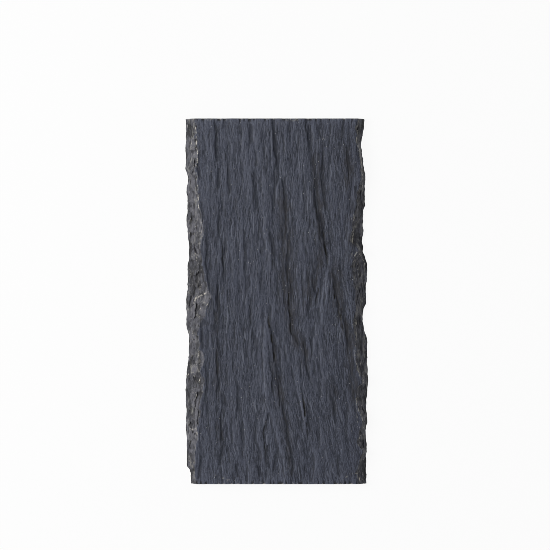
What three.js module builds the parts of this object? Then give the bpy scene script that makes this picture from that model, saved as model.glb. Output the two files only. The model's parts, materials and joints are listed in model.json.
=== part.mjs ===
// A slab of slate lying on its underside: one solid stone, 300 mm long, 150 mm wide and 10 mm thick.
// The two ends are sawn square. The two long edges are dressed by hand: flakes are struck off the
// face, and leave a band of hollow scars that runs down to a thin rim at the base. The top is the
// riven face, where the slate was split, and its ledges and swells run along the grain. The
// underside is split too, and rests on one flat bed with a few shallow spalls in it.
//
// Units are millimetres. X runs across the slab, Y along its grain, and Z up from the bed.
// The origin is the middle of the underside.
//
// Places on the slab are given as a station, counted along the grain from the near sawn end,
// and as an inset, the distance in from the widest line of a long edge.

import * as THREE from "three";

// Driving dimensions.
const LENGTH = 300; // between the sawn ends
const WIDTH = 149.8; // across the widest points of the two dressed edges
const THICKNESS = 10; // from the bed to the highest ledge of the riven face
const FACE_DEPTH = 0.8; // how far the mean level of the riven face lies under that
const RIM = 2; // mean height of the rim that the flaking leaves along a long edge
const RIM_WAVE = 0.6; // how much that rim rises and falls
const RIM_WAVELENGTH = 47;
const FOOT = 0.5; // how far the foot of the rim is set back, and how high it reaches

// Mesh density: rings along the grain, and columns across each ring.
const ROWS = 65;
const FLAKE_STEPS = 4;
const BED_COLUMNS = 15;

// The outer line of each long edge: [station, inset].
const LEFT_EDGE = [
  [0, 4.9], [7.6, 4.8], [11.7, 3.4], [14.2, 1.8], [16.6, 1.4], [36.3, 1.3], [46.1, 0.6],
  [59.3, 0.9], [69.1, 0.6], [82.2, 0.6], [92, 1.3], [101.9, 2.5], [111.7, 3], [121.6, 3.2],
  [131.4, 0.6], [141.2, 1.1], [151.1, 0.6], [160.9, 2.1], [178.9, 1.9], [186.3, 3.2],
  [193.7, 3.2], [206.8, 2], [216.6, 1], [222.4, 2], [229.8, 1.9], [242.9, 1], [249.4, 2.3],
  [260.9, 0.5], [269.1, 0.8], [276.9, 0], [285.5, 0.6], [300, 0.6],
];
const RIGHT_EDGE = [
  [0, 1.3], [10.1, 1.8], [23.2, 1.6], [26.5, 1.1], [42.9, 1.7], [52.7, 0.8], [62.5, 1.5],
  [83.1, 0], [98.6, 0.5], [108.4, 1], [117, 0.4], [128.1, 3.4], [134.7, 4.5], [141.2, 4],
  [149.4, 1.6], [159.3, 1.9], [171.5, 0.8], [178.9, 0.7], [185.5, 2.3], [192, 4.4],
  [200.2, 4.9], [206.8, 4.3], [224, 3.9], [230.8, 2.4], [246.1, 2.6], [252.7, 2.3],
  [263, 3.8], [278.9, 5.6], [285.5, 5], [292, 3.3], [300, 3.6],
];

// The line where the riven face breaks down into the flaked band: [station, inset].
const LEFT_BREAK = [
  [0, 9.6], [15.8, 8.4], [32.2, 8.8], [39.6, 10], [52.7, 11.2], [67.5, 12.9], [78.9, 16.1],
  [93.7, 13.7], [104.3, 15.3], [114.2, 11.2], [122.4, 10.8], [130.6, 12], [138.8, 17],
  [149.4, 19], [159.3, 19.4], [171.6, 16.1], [182.2, 14.5], [192, 13.7], [204.3, 14.9],
  [219.1, 14.1], [233, 11.2], [247, 10.4], [257.6, 8.8], [272.4, 11.2], [281, 9.4], [300, 8.8],
];
const RIGHT_BREAK = [
  [0, 8.2], [8.4, 9.8], [18.3, 7.8], [26.5, 4.6], [34.7, 9], [39.6, 8.2], [52.7, 4.9],
  [69.1, 9.4], [75.7, 9], [85.5, 4.9], [95.3, 9.8], [114.2, 9.8], [133, 12.7], [142.9, 10.7],
  [151.1, 11.5], [167.5, 13.1], [182.2, 13.9], [190.4, 8.2], [200.2, 14.8], [213.4, 13.5],
  [220.7, 10.7], [237.1, 9], [245.3, 7.4], [253.5, 6.2], [269.9, 7], [275.7, 7.9],
  [282.2, 10.7], [290.4, 9.8], [300, 9],
];

// Scars of the larger flakes, hollows with a sharp arris between them: [station, half length, depth].
const LEFT_FLAKES = [
  [8, 11, 0.9], [26, 10, 0.7], [44, 12, 1], [73, 19, 1.5], [105, 13, 1.4], [131, 12, 0.9],
  [156, 19, 1.9], [188, 14, 1.3], [213, 15, 1.5], [240, 14, 1.1], [269, 14, 1.2], [292, 10, 0.8],
];
const RIGHT_FLAKES = [
  [9, 11, 1.2], [36, 10, 1], [69, 13, 1], [98, 9, 0.9], [116, 11, 1], [135, 11, 1.3],
  [158, 12, 1.1], [179, 10, 1.2], [202, 13, 1.5], [232, 14, 0.9], [260, 12, 0.7], [285, 13, 1.3],
];
const SCAR_POWER = 1.25; // above 1 the whole band sags from its break line to its rim

// Lines that the grain follows, as insets from the left widest line at evenly spaced stations.
// The columns of the mesh run along them, and columns is how many lie on the near side of one.
const GRAIN = [
  { columns: 5, insets: [27.6, 26.8, 26, 26, 25.2, 25.2, 25.2] },
  { columns: 9, insets: [58, 55.5, 53.9, 51.4, 50.6, 53.9, 52.2] },
  { columns: 7, insets: [84.2, 78.4, 71.9, 67.8, 68.6, 70.2, 67.8] },
  { columns: 6, insets: [102.2, 99.8, 96.5, 85.4, 82.5, 80.1, 78.4] },
  { columns: 4, insets: [108.8, 106.3, 102.2, 96.5, 98.9, 95.7, 94] },
  { columns: 4, insets: [113.7, 110.4, 108, 108, 112.9, 106.3, 103] },
  { columns: 6, insets: [136.6, 135, 132.5, 124.3, 117, 114.5, 114.5] },
];
const LAST_COLUMNS = 6;

// Ledges of the riven face, each a line of [station, inset from the left widest line]. The face
// loses the drop from the left of the line to its right, and comes level again over the run.
const LEDGES = [
  { drop: 0.9, run: 5, line: [[194, 25.5], [233, 26], [262, 25], [281, 23.5], [303, 24.3]] }, // left seam
  { drop: 0.7, run: 4, line: [[178, 31], [206, 28], [231, 34], [256, 34], [282, 32.5]] }, // its twin
  { drop: 0.9, run: 5, line: [[58, 25], [81, 26.8], [102, 25], [135, 27.6], [166, 26.8]] }, // left, lower
  { drop: 0.8, run: 4, line: [[10, 30], [31, 28.4], [72, 29.5]] }, // left foot
  { drop: 0.6, run: 4, line: [[40, 41], [66, 42], [98, 43]] }, // left middle
  { drop: 0.8, run: 4, line: [[220, 56.3], [246, 55.5], [260, 54]] }, // upper nick
  { drop: 0.6, run: 4, line: [[150, 49], [176, 48.5], [202, 47.5]] }, // middle left
  { drop: 1, run: 5, line: [[240, 75], [262, 74.3], [281, 72.7], [305, 68.6]] }, // top middle
  { drop: 0.9, run: 5, line: [[136, 75.2], [171, 74.3], [182, 71.9], [212, 70.2], [236, 67]] }, // middle
  { drop: 1.6, run: 7, line: [[106, 96.5], [125, 86.6], [141, 85.8], [182, 82.5], [223, 81], [254, 80]] },
  { drop: 1, run: 5, line: [[78, 100], [100, 98], [122, 96]] }, // tail of the centre hollow
  { drop: 1.1, run: 5, line: [[248, 102.2], [266, 102.2], [286, 99], [305, 99]] }, // top right
  { drop: 1.8, run: 8, line: [[176, 116.3], [190, 115.3], [215, 108], [254, 104]] }, // right hollow
  { drop: -1.2, run: 7, line: [[136, 107], [167, 104], [182, 110], [196, 115]] }, // lens, left flank
  { drop: 1.5, run: 6, line: [[106, 133.5], [122, 130.9], [141, 126.8], [159, 122.7], [180, 120.5]] },
  { drop: 1.5, run: 4, line: [[94, 72.5], [113, 71.9], [127, 69.4], [143, 67.5]] }, // black crack
  { drop: 1.5, run: 7, line: [[20, 88], [48, 82], [71, 78], [92, 76.8], [112, 73.5]] }, // lower hollow
  { drop: 0.9, run: 4, line: [[9, 66.5], [31, 65.3], [43, 63.7], [62, 69]] }, // lower zigzag
  { drop: 1, run: 4, line: [[8, 98], [40, 97.5], [59, 98.1], [78, 96.5]] }, // lower right crack
  { drop: 0.9, run: 5, line: [[48, 122.5], [68, 121], [90, 117.5]] }, // right, lower
  { drop: 0.8, run: 5, line: [[236, 134.2], [258, 133.4], [284, 130.9]] }, // right, upper
];
const LEDGE_FALL = 1.3; // half the width over which the face falls across a ledge
const LEDGE_RISE_SHARE = 0.4; // share of the drop that stands proud on the high side

// Long low swells of the split.
const SWELLS = [
  { height: 0.24, across: 41, along: 260, phase: 0.4 },
  { height: 0.2, across: 19, along: 170, phase: 2.1 },
  { height: 0.13, across: 9.5, along: 120, phase: 4 },
];

// Small bites out of the top arris of the sawn ends: [end station, inset, half width, depth].
const END_CHIPS = [
  [0, 41, 9, 0.7], [0, 134, 8, 1.1], [0, 88, 6, 0.5], [300, 86, 7, 0.7], [300, 30, 8, 0.6],
];
const END_CHIP_REACH = 4; // how far a bite reaches along the grain

// Shallow spalls in the bed, where thin leaves of slate came away.
const SPALLS = [
  { station: 52, inset: 30, halfLength: 44, halfWidth: 22, depth: 0.7 },
  { station: 128, inset: 112, halfLength: 62, halfWidth: 21, depth: 0.9 },
  { station: 236, inset: 47, halfLength: 50, halfWidth: 26, depth: 0.8 },
  { station: 262, inset: 124, halfLength: 32, halfWidth: 15, depth: 0.6 },
];

const { lerp, mapLinear, smoothstep } = THREE.MathUtils;

/** The two neighbouring knots of a table that a station lies between. */
function knotsAround(table, station) {
  const next = table.findIndex(([at]) => at >= station);
  return [table[Math.max(next - 1, 0)], table[Math.max(next, 1)]];
}

/** Value of an edge table at a station, eased so that every knot is a crest or a dip. */
function easedAt(table, station) {
  const [[from, start], [to, end]] = knotsAround(table, station);
  return lerp(start, end, smoothstep(station, from, to));
}

/** Value of a table at a station, on the straight line between its knots. */
function straightAt(table, station) {
  const [[from, start], [to, end]] = knotsAround(table, station);
  return mapLinear(station, from, to, start, end);
}

/** Share of a bowl's depth at offsets from its middle, given in half widths: 1 in the middle. */
function bowl(...offsets) {
  const spread = offsets.reduce((sum, offset) => sum + offset ** 2, 0);
  return Math.max(0, 1 - spread);
}

/** Height that one ledge adds to the riven face. */
function ledgeHeight({ line, drop, run }, station, inset) {
  const progress = (station - line[0][0]) / (line.at(-1)[0] - line[0][0]);
  if (progress <= 0 || progress >= 1) return 0;
  const strength = Math.sqrt(Math.sin(Math.PI * progress));
  const beyond = inset - straightAt(line, station);
  const lowSide = (1 + Math.tanh(beyond / LEDGE_FALL)) / 2;
  return drop * strength * (LEDGE_RISE_SHARE - lowSide) * Math.exp(-Math.abs(beyond) / run);
}

/** Depth of the bites in the top arris of the sawn ends. */
function endChipDepth(station, inset) {
  let depth = 0;
  for (const [end, middle, halfWidth, deepest] of END_CHIPS) {
    const reach = Math.abs(station - end) / END_CHIP_REACH;
    depth += deepest * bowl((inset - middle) / halfWidth, reach);
  }
  return depth;
}

/** Height of the riven face. */
function faceHeight(x, station) {
  const inset = x + WIDTH / 2;
  let z = THICKNESS - FACE_DEPTH;
  for (const { height, across, along, phase } of SWELLS) {
    z += height * Math.sin(2 * Math.PI * (inset / across + station / along) + phase);
  }
  for (const ledge of LEDGES) z += ledgeHeight(ledge, station, inset);
  return Math.min(z, THICKNESS) - endChipDepth(station, inset);
}

/** Height of the underside: 0 on the bed, and a shallow bowl in each spall. */
function bedHeight(x, station) {
  const inset = x + WIDTH / 2;
  let z = 0;
  for (const spall of SPALLS) {
    const along = (station - spall.station) / spall.halfLength;
    const across = (inset - spall.inset) / spall.halfWidth;
    z = Math.max(z, spall.depth * Math.sqrt(bowl(along, across)));
  }
  return z;
}

/** Points [x, z] of a flaked band from the top of its rim up to, but not on, the break line. */
function flakedBand(rimX, breakX, flakes, station) {
  const rim = RIM + RIM_WAVE * Math.sin((2 * Math.PI * station) / RIM_WAVELENGTH + rimX);
  const top = faceHeight(breakX, station);
  const scars = flakes.map(([middle, half, depth]) => depth * bowl((station - middle) / half));
  const scar = Math.max(...scars);
  const points = [];
  for (let step = 0; step < FLAKE_STEPS; step++) {
    const share = step / FLAKE_STEPS;
    const slope = rim + (top - rim) * share ** SCAR_POWER;
    points.push([lerp(rimX, breakX, share), slope - scar * Math.sin(Math.PI * share)]);
  }
  return points;
}

/** X positions of the columns of the riven face from break line to break line, along the grain. */
function faceColumns(leftBreak, rightBreak, station) {
  const guides = GRAIN.map(({ insets }) => {
    const path = new THREE.SplineCurve(insets.map((inset, index) => new THREE.Vector2(index, inset)));
    return path.getPoint(station / LENGTH).y - WIDTH / 2;
  });
  const lines = [leftBreak, ...guides, rightBreak];
  const counts = [...GRAIN.map(({ columns }) => columns), LAST_COLUMNS];
  const xs = counts.flatMap((columns, gap) =>
    Array.from({ length: columns }, (_, column) => lerp(lines[gap], lines[gap + 1], column / columns)),
  );
  return [...xs, rightBreak];
}

/** One cross-section of the slab as a closed ring of points [x, z], the same count at any station. */
function ringAt(station) {
  const leftRim = -WIDTH / 2 + easedAt(LEFT_EDGE, station);
  const leftBreak = -WIDTH / 2 + easedAt(LEFT_BREAK, station);
  const rightRim = WIDTH / 2 - easedAt(RIGHT_EDGE, station);
  const rightBreak = WIDTH / 2 - easedAt(RIGHT_BREAK, station);
  const bedShares = Array.from({ length: BED_COLUMNS - 1 }, (_, column) => (column + 1) / BED_COLUMNS);
  return [
    [leftRim + FOOT, 0],
    [leftRim, FOOT],
    ...flakedBand(leftRim, leftBreak, LEFT_FLAKES, station),
    ...faceColumns(leftBreak, rightBreak, station).map((x) => [x, faceHeight(x, station)]),
    ...flakedBand(rightRim, rightBreak, RIGHT_FLAKES, station).reverse(),
    [rightRim, FOOT],
    [rightRim - FOOT, 0],
    ...bedShares.map((share) => lerp(rightRim, leftRim, share)).map((x) => [x, bedHeight(x, station)]),
  ];
}

/** Corner triples that fill one ring, stitched from left to right between its top and its bed. */
function sawnEnd(ring) {
  const topCount = ring.length - (BED_COLUMNS - 1);
  const bed = [0, ...Array.from(ring.keys()).slice(topCount).reverse(), topCount - 1];
  const triples = [];
  let upper = 1;
  let lower = 0;
  while (upper < topCount - 2 || lower < bed.length - 1) {
    const topDone = upper === topCount - 2;
    const bedDone = lower === bed.length - 1;
    const alongTop = bedDone || (!topDone && ring[upper + 1][0] < ring[bed[lower + 1]][0]);
    triples.push([upper, bed[lower], alongTop ? upper + 1 : bed[lower + 1]]);
    if (alongTop) upper += 1;
    else lower += 1;
  }
  return triples;
}

/** The whole slab: rings joined along the grain, and a flat sawn face at each end. */
function slabGeometry() {
  const stations = Array.from({ length: ROWS + 1 }, (_, row) => (LENGTH * row) / ROWS);
  const rings = stations.map(ringAt);
  const count = rings[0].length;
  const positions = rings.flatMap((ring, row) => ring.flatMap(([x, z]) => [x, stations[row], z]));
  const faces = [];
  for (let row = 0; row < ROWS; row++) {
    for (let point = 0; point < count; point++) {
      const a = row * count + point;
      const b = row * count + ((point + 1) % count);
      faces.push(a, b, a + count, b, b + count, a + count);
    }
  }
  const last = ROWS * count;
  for (const [a, b, c] of sawnEnd(rings[0])) faces.push(a, b, c);
  for (const [a, b, c] of sawnEnd(rings[ROWS])) faces.push(last + a, last + c, last + b);
  const geometry = new THREE.BufferGeometry();
  geometry.setAttribute("position", new THREE.Float32BufferAttribute(positions, 3));
  geometry.setIndex(faces);
  geometry.computeBoundingBox();
  const middle = geometry.boundingBox.getCenter(new THREE.Vector3());
  geometry.translate(-middle.x, -middle.y, 0);
  geometry.computeVertexNormals();
  return geometry;
}

const slate = new THREE.MeshStandardMaterial({
  name: "slate",
  color: new THREE.Color().setRGB(0.262, 0.273, 0.308, THREE.SRGBColorSpace),
  roughness: 0.7,
  metalness: 0,
  flatShading: true,
});

const slab = new THREE.Mesh(slabGeometry(), slate);
slab.name = "slate_slab";

const model = new THREE.Group();
model.name = "slate slab";
model.add(slab);

export default model;
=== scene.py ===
"""The looks of a slate slab: one stone lying on its underside, seen from straight above.

Its top is riven along the grain, its two ends are sawn, and its two long edges are dressed by
hand, with a band of flake scars along each. Lengths in the tables are millimetres. A station is
counted along the grain from the near sawn end, and an inset is the distance in from the widest
line of a long edge, the left one where no edge is named.
"""

from __future__ import annotations

import json
import logging
import math
from dataclasses import dataclass, field
from enum import Enum
from typing import Callable, Sequence

import bpy
import numpy as np
from bpy.types import Material, Mesh, Node, NodeSocket, Object
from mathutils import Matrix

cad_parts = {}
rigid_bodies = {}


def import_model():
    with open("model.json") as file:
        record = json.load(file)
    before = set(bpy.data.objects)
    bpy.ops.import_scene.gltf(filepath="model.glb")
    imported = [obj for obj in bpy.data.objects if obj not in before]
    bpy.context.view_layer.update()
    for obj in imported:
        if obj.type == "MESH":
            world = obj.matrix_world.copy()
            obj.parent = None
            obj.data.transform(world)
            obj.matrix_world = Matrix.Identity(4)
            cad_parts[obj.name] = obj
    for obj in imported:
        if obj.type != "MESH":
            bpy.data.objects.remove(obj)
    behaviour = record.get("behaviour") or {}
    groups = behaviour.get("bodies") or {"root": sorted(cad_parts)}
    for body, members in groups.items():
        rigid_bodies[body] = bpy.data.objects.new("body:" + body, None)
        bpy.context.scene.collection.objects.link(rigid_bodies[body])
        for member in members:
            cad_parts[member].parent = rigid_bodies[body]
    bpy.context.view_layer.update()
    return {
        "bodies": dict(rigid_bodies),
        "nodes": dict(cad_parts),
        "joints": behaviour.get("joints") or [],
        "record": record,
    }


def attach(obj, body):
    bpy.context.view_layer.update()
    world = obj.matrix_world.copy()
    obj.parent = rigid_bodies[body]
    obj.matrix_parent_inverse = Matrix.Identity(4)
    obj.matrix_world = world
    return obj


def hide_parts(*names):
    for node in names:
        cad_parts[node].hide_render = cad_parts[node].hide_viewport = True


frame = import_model()

log = logging.getLogger("slate slab")

MM = 0.001
Table = Sequence[tuple[float, float]]
Colour = tuple[float, float, float]
Scale = tuple[float, float, float]
Fibres = Callable[[np.ndarray, np.ndarray], np.ndarray]


class Side(Enum):
    """A long edge of the slab, with the direction from its rim to the middle."""

    LEFT = 1
    RIGHT = -1


class Zone(Enum):
    """The parts of the blank that a vertex can belong to."""

    TOP = 0
    WALL = 1
    BED = 2


# Tables and noise


def eased(table: Table, station: np.ndarray) -> np.ndarray:
    """Reads a table so that every knot is a crest or a dip.

    Args:
        table: knots of (station, value).
        station: stations to read it at.

    Returns:
        The values.
    """
    at, values = np.array(table).T
    gap = np.clip(np.searchsorted(at, station) - 1, 0, len(at) - 2)
    share = np.clip((station - at[gap]) / (at[gap + 1] - at[gap]), 0, 1)
    share = share * share * (3 - 2 * share)
    return values[gap] + (values[gap + 1] - values[gap]) * share


def straight(table: Table, station: np.ndarray) -> np.ndarray:
    """Reads a table on the straight lines between its knots.

    Args:
        table: knots of (station, value).
        station: stations to read it at.

    Returns:
        The values.
    """
    at, values = np.array(table).T
    return np.interp(station, at, values)


def ramped(low: float, high: float, value: np.ndarray) -> np.ndarray:
    """Smooth step from 0 at low to 1 at high.

    Args:
        low: where the step starts.
        high: where it ends.
        value: values to step.

    Returns:
        Shares from 0 to 1.
    """
    share = np.clip((value - low) / (high - low), 0, 1)
    return share * share * (3 - 2 * share)


def spindle(line: Table, station: np.ndarray) -> np.ndarray:
    """Strength along a line, full in its middle and nothing at its ends.

    Args:
        line: knots of (station, inset).
        station: stations of the points.

    Returns:
        Shares from 0 to 1.
    """
    start, end = line[0][0], line[-1][0]
    progress = np.clip((station - start) / (end - start), 0, 1)
    return np.sqrt(np.sin(math.pi * progress).clip(0))


@dataclass(frozen=True)
class Noise:
    """Smooth seeded noise on a plane, about -1 to 1, with cells one unit wide."""

    seed: int
    cells: int = 256

    def at(self, x: np.ndarray, y: np.ndarray) -> np.ndarray:
        """Reads the noise.

        Args:
            x: first coordinates, in cells.
            y: second coordinates, in cells.

        Returns:
            One value for each point.
        """
        x, y = np.broadcast_arrays(np.asarray(x, float), np.asarray(y, float))
        turn = np.random.default_rng(self.seed).uniform(0, 2 * math.pi, (self.cells, self.cells))
        left, low = np.floor(x).astype(int), np.floor(y).astype(int)
        fx, fy = x - left, y - low

        def corner(dx: int, dy: int) -> np.ndarray:
            """Share of one corner of the cell."""
            angle = turn[(left + dx) % self.cells, (low + dy) % self.cells]
            return np.cos(angle) * (fx - dx) + np.sin(angle) * (fy - dy)

        ex, ey = (f * f * f * (f * (f * 6 - 15) + 10) for f in (fx, fy))
        near = corner(0, 0) + (corner(1, 0) - corner(0, 0)) * ex
        far = corner(0, 1) + (corner(1, 1) - corner(0, 1)) * ex
        return 1.5 * (near + (far - near) * ey)

    def along(self, x: np.ndarray) -> np.ndarray:
        """Reads the noise along a line."""
        return self.at(x, 0.37)

    def nearest(self, x: np.ndarray, y: np.ndarray) -> tuple[np.ndarray, ...]:
        """Finds the nearest of one random point in each cell.

        Args:
            x: first coordinates, in cells.
            y: second coordinates, in cells.

        Returns:
            The offsets from that point, in cells, the indices of its cell, and how much further
            away the next point is.
        """
        x, y = np.broadcast_arrays(np.asarray(x, float), np.asarray(y, float))
        px, py = np.random.default_rng(self.seed).uniform(0.1, 0.9, (2, self.cells, self.cells))
        left, low = np.floor(x).astype(int), np.floor(y).astype(int)
        best, second = np.full(x.shape, 9.0), np.full(x.shape, 9.0)
        off_x, off_y, cell_x, cell_y = (np.zeros(x.shape) for _ in range(4))
        for dx in (-1, 0, 1):
            for dy in (-1, 0, 1):
                i, j = left + dx, low + dy
                ox = x - i - px[i % self.cells, j % self.cells]
                oy = y - j - py[i % self.cells, j % self.cells]
                away = np.hypot(ox, oy)
                closer = away < best
                second = np.where(closer, best, np.minimum(second, away))
                best = np.minimum(best, away)
                off_x, off_y = np.where(closer, ox, off_x), np.where(closer, oy, off_y)
                cell_x = np.where(closer, i % self.cells, cell_x)
                cell_y = np.where(closer, j % self.cells, cell_y)
        return off_x, off_y, cell_x.astype(int), cell_y.astype(int), second - best

    def bowls(self, x: np.ndarray, y: np.ndarray) -> np.ndarray:
        """Bowls that meet in sharp ridges, one in each cell."""
        off_x, off_y, _, _, _ = self.nearest(x, y)
        return off_x**2 + off_y**2

    def facets(self, x: np.ndarray, y: np.ndarray) -> np.ndarray:
        """Flat facets with steps between them, each at a random level and tilt, about -1 to 1.

        Args:
            x: first coordinates, in cells.
            y: second coordinates, in cells.

        Returns:
            One value for each point.
        """
        off_x, off_y, i, j, _ = self.nearest(x, y)
        level, tilt_x, tilt_y = np.random.default_rng(self.seed + 1).uniform(
            -1, 1, (3, self.cells, self.cells)
        )
        return 0.7 * level[i, j] + 0.6 * (tilt_x[i, j] * off_x + tilt_y[i, j] * off_y)


def terraced(height: np.ndarray, step: float, riser: float) -> np.ndarray:
    """Cuts a smooth height into level leaves with steep edges, as slate splits.

    Args:
        height: heights to cut.
        step: thickness of a leaf.
        riser: share of each step that its steep edge takes up.

    Returns:
        The stepped heights.
    """
    levels = height / step
    tread = np.floor(levels)
    return step * (tread + ramped(1 - riser, 1, levels - tread))


# The shape of the slab, shared with its solid


@dataclass(frozen=True)
class Ledge:
    """A line across which the riven face drops from its left to its right, and then levels out."""

    drop: float
    run: float
    line: Table


@dataclass(frozen=True)
class Fold:
    """A slope along a line of the riven face: its strength, its half width and the line."""

    strength: float
    half_width: float
    line: Table


LENGTH = 300.0
WIDTH = 149.8
THICKNESS = 10.0

LEFT_EDGE: Table = (
    (0, 4.9), (7.6, 4.8), (11.7, 3.4), (14.2, 1.8), (16.6, 1.4), (36.3, 1.3), (46.1, 0.6),
    (59.3, 0.9), (69.1, 0.6), (82.2, 0.6), (92, 1.3), (101.9, 2.5), (111.7, 3), (121.6, 3.2),
    (131.4, 0.6), (141.2, 1.1), (151.1, 0.6), (160.9, 2.1), (178.9, 1.9), (186.3, 3.2),
    (193.7, 3.2), (206.8, 2), (216.6, 1), (222.4, 2), (229.8, 1.9), (242.9, 1), (249.4, 2.3),
    (260.9, 0.5), (269.1, 0.8), (276.9, 0), (285.5, 0.6), (300, 0.6),
)
RIGHT_EDGE: Table = (
    (0, 1.3), (10.1, 1.8), (23.2, 1.6), (26.5, 1.1), (42.9, 1.7), (52.7, 0.8), (62.5, 1.5),
    (83.1, 0), (98.6, 0.5), (108.4, 1), (117, 0.4), (128.1, 3.4), (134.7, 4.5), (141.2, 4),
    (149.4, 1.6), (159.3, 1.9), (171.5, 0.8), (178.9, 0.7), (185.5, 2.3), (192, 4.4),
    (200.2, 4.9), (206.8, 4.3), (224, 3.9), (230.8, 2.4), (246.1, 2.6), (252.7, 2.3),
    (263, 3.8), (278.9, 5.6), (285.5, 5), (292, 3.3), (300, 3.6),
)
LEFT_BREAK: Table = (
    (0, 9.6), (15.8, 8.4), (32.2, 8.8), (39.6, 10), (52.7, 11.2), (67.5, 12.9), (78.9, 16.1),
    (93.7, 13.7), (104.3, 15.3), (114.2, 11.2), (122.4, 10.8), (130.6, 12), (138.8, 17),
    (149.4, 19), (159.3, 19.4), (171.6, 16.1), (182.2, 14.5), (192, 13.7), (204.3, 14.9),
    (219.1, 14.1), (233, 11.2), (247, 10.4), (257.6, 8.8), (272.4, 11.2), (281, 9.4), (300, 8.8),
)
RIGHT_BREAK: Table = (
    (0, 8.2), (8.4, 9.8), (18.3, 7.8), (26.5, 4.6), (34.7, 9), (39.6, 8.2), (52.7, 4.9),
    (69.1, 9.4), (75.7, 9), (85.5, 4.9), (95.3, 9.8), (114.2, 9.8), (133, 12.7), (142.9, 10.7),
    (151.1, 11.5), (167.5, 13.1), (182.2, 13.9), (190.4, 8.2), (200.2, 14.8), (213.4, 13.5),
    (220.7, 10.7), (237.1, 9), (245.3, 7.4), (253.5, 6.2), (269.9, 7), (275.7, 7.9),
    (282.2, 10.7), (290.4, 9.8), (300, 9),
)
# Scars of the larger flakes: (station, half length, depth).
LEFT_FLAKES = (
    (8, 11, 0.9), (26, 10, 0.7), (44, 12, 1), (73, 19, 1.5), (105, 13, 1.4), (131, 12, 0.9),
    (156, 19, 1.9), (188, 14, 1.3), (213, 15, 1.5), (240, 14, 1.1), (269, 14, 1.2), (292, 10, 0.8),
)
RIGHT_FLAKES = (
    (9, 11, 1.2), (36, 10, 1), (69, 13, 1), (98, 9, 0.9), (116, 11, 1), (135, 11, 1.3),
    (158, 12, 1.1), (179, 10, 1.2), (202, 13, 1.5), (232, 14, 0.9), (260, 12, 0.7),
    (285, 13, 1.3),
)
# Places where the grain leans: (station, inset, half length, half width, lean).
LEANS = (
    (48, 116, 80, 50, 0.23), (44, 82, 30, 8, 0.06), (200, 74, 30, 9, 0.12), (204, 118, 28, 12, 0.1),
    (163, 106, 22, 8, -0.22), (131, 77, 28, 12, 0.12), (24, 38, 26, 14, 0.15), (77, 49, 40, 20, 0.05),
    (278, 53, 18, 12, -0.1), (145, 131, 40, 8, 0.08), (233, 131, 20, 8, -0.1), (233, 45, 15, 6, 0.08),
)
# The leans that have a map of their own.
GRAIN_MAPS = (("grain", 0.0), ("leaning_grain", 0.1), ("steep_grain", 0.2))
LEDGES = (
    Ledge(0.9, 5, ((194, 25.5), (233, 26), (262, 25), (281, 23.5), (303, 24.3))),
    Ledge(0.7, 4, ((178, 31), (206, 28), (231, 34), (256, 34), (282, 32.5))),
    Ledge(0.9, 5, ((58, 25), (81, 26.8), (102, 25), (135, 27.6), (166, 26.8))),
    Ledge(0.8, 4, ((10, 30), (31, 28.4), (72, 29.5))),
    Ledge(0.6, 4, ((40, 41), (66, 42), (98, 43))),
    Ledge(0.8, 4, ((220, 56.3), (246, 55.5), (260, 54))),
    Ledge(0.6, 4, ((150, 49), (176, 48.5), (202, 47.5))),
    Ledge(1.0, 5, ((240, 75), (262, 74.3), (281, 72.7), (305, 68.6))),
    Ledge(0.9, 5, ((136, 75.2), (171, 74.3), (182, 71.9), (212, 70.2), (236, 67))),
    Ledge(1.6, 7, ((106, 96.5), (125, 86.6), (141, 85.8), (182, 82.5), (223, 81), (254, 80))),
    Ledge(1.0, 5, ((78, 100), (100, 98), (122, 96))),
    Ledge(1.1, 5, ((248, 102.2), (266, 102.2), (286, 99), (305, 99))),
    Ledge(1.8, 8, ((176, 116.3), (190, 115.3), (215, 108), (254, 104))),
    Ledge(-1.2, 7, ((136, 107), (167, 104), (182, 110), (196, 115))),
    Ledge(1.5, 6, ((106, 133.5), (122, 130.9), (141, 126.8), (159, 122.7), (180, 120.5))),
    Ledge(1.5, 4, ((94, 72.5), (113, 71.9), (127, 69.4), (143, 67.5))),
    Ledge(1.5, 7, ((20, 88), (48, 82), (71, 78), (92, 76.8), (112, 73.5))),
    Ledge(0.9, 4, ((9, 66.5), (31, 65.3), (43, 63.7), (62, 69))),
    Ledge(1.0, 4, ((8, 98), (40, 97.5), (59, 98.1), (78, 96.5))),
    Ledge(0.9, 5, ((48, 122.5), (68, 121), (90, 117.5))),
    Ledge(0.8, 5, ((236, 134.2), (258, 133.4), (284, 130.9))),
)
# Thin seams, too fine for the solid.
SEAMS = (
    Ledge(0.35, 2.5, ((270, 21.1), (296, 19.4))),
    Ledge(0.35, 2.5, ((244, 112), (275, 112))),
    Ledge(0.5, 3, ((272, 141.6), (285.5, 139.9), (302, 140.7))),
    Ledge(0.35, 2.5, ((133, 20.4), (150, 21.4), (164, 21.4))),
    Ledge(0.5, 3, ((112, 134.6), (138, 130.9), (150, 129.5))),
    Ledge(0.35, 2.5, ((60, 135), (87, 134.2))),
    Ledge(0.4, 3, ((-3, 86.6), (14, 87), (30, 86.6))),
    Ledge(0.4, 3, ((7, 121.9), (36, 117))),
    Ledge(0.3, 2, ((136, 78.4), (156, 76.8))),
    Ledge(0.35, 2.5, ((105, 53), (141, 52.2))),
    Ledge(0.35, 2.5, ((-3, 139.9), (43, 137.5))),
    Ledge(0.4, 3, ((178, 135), (207, 134.2))),
    Ledge(0.3, 2.5, ((235, 126), (254, 125.2))),
    Ledge(0.35, 3, ((15, 49), (34, 48.5), (52, 48))),
    Ledge(0.35, 3, ((188, 62.5), (214, 61.5))),
    Ledge(0.3, 3, ((268, 41.5), (303, 40.5))),
    Ledge(0.3, 3, ((262, 88), (303, 86))),
    Ledge(0.35, 3, ((196, 125), (226, 122.5))),
)
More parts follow.
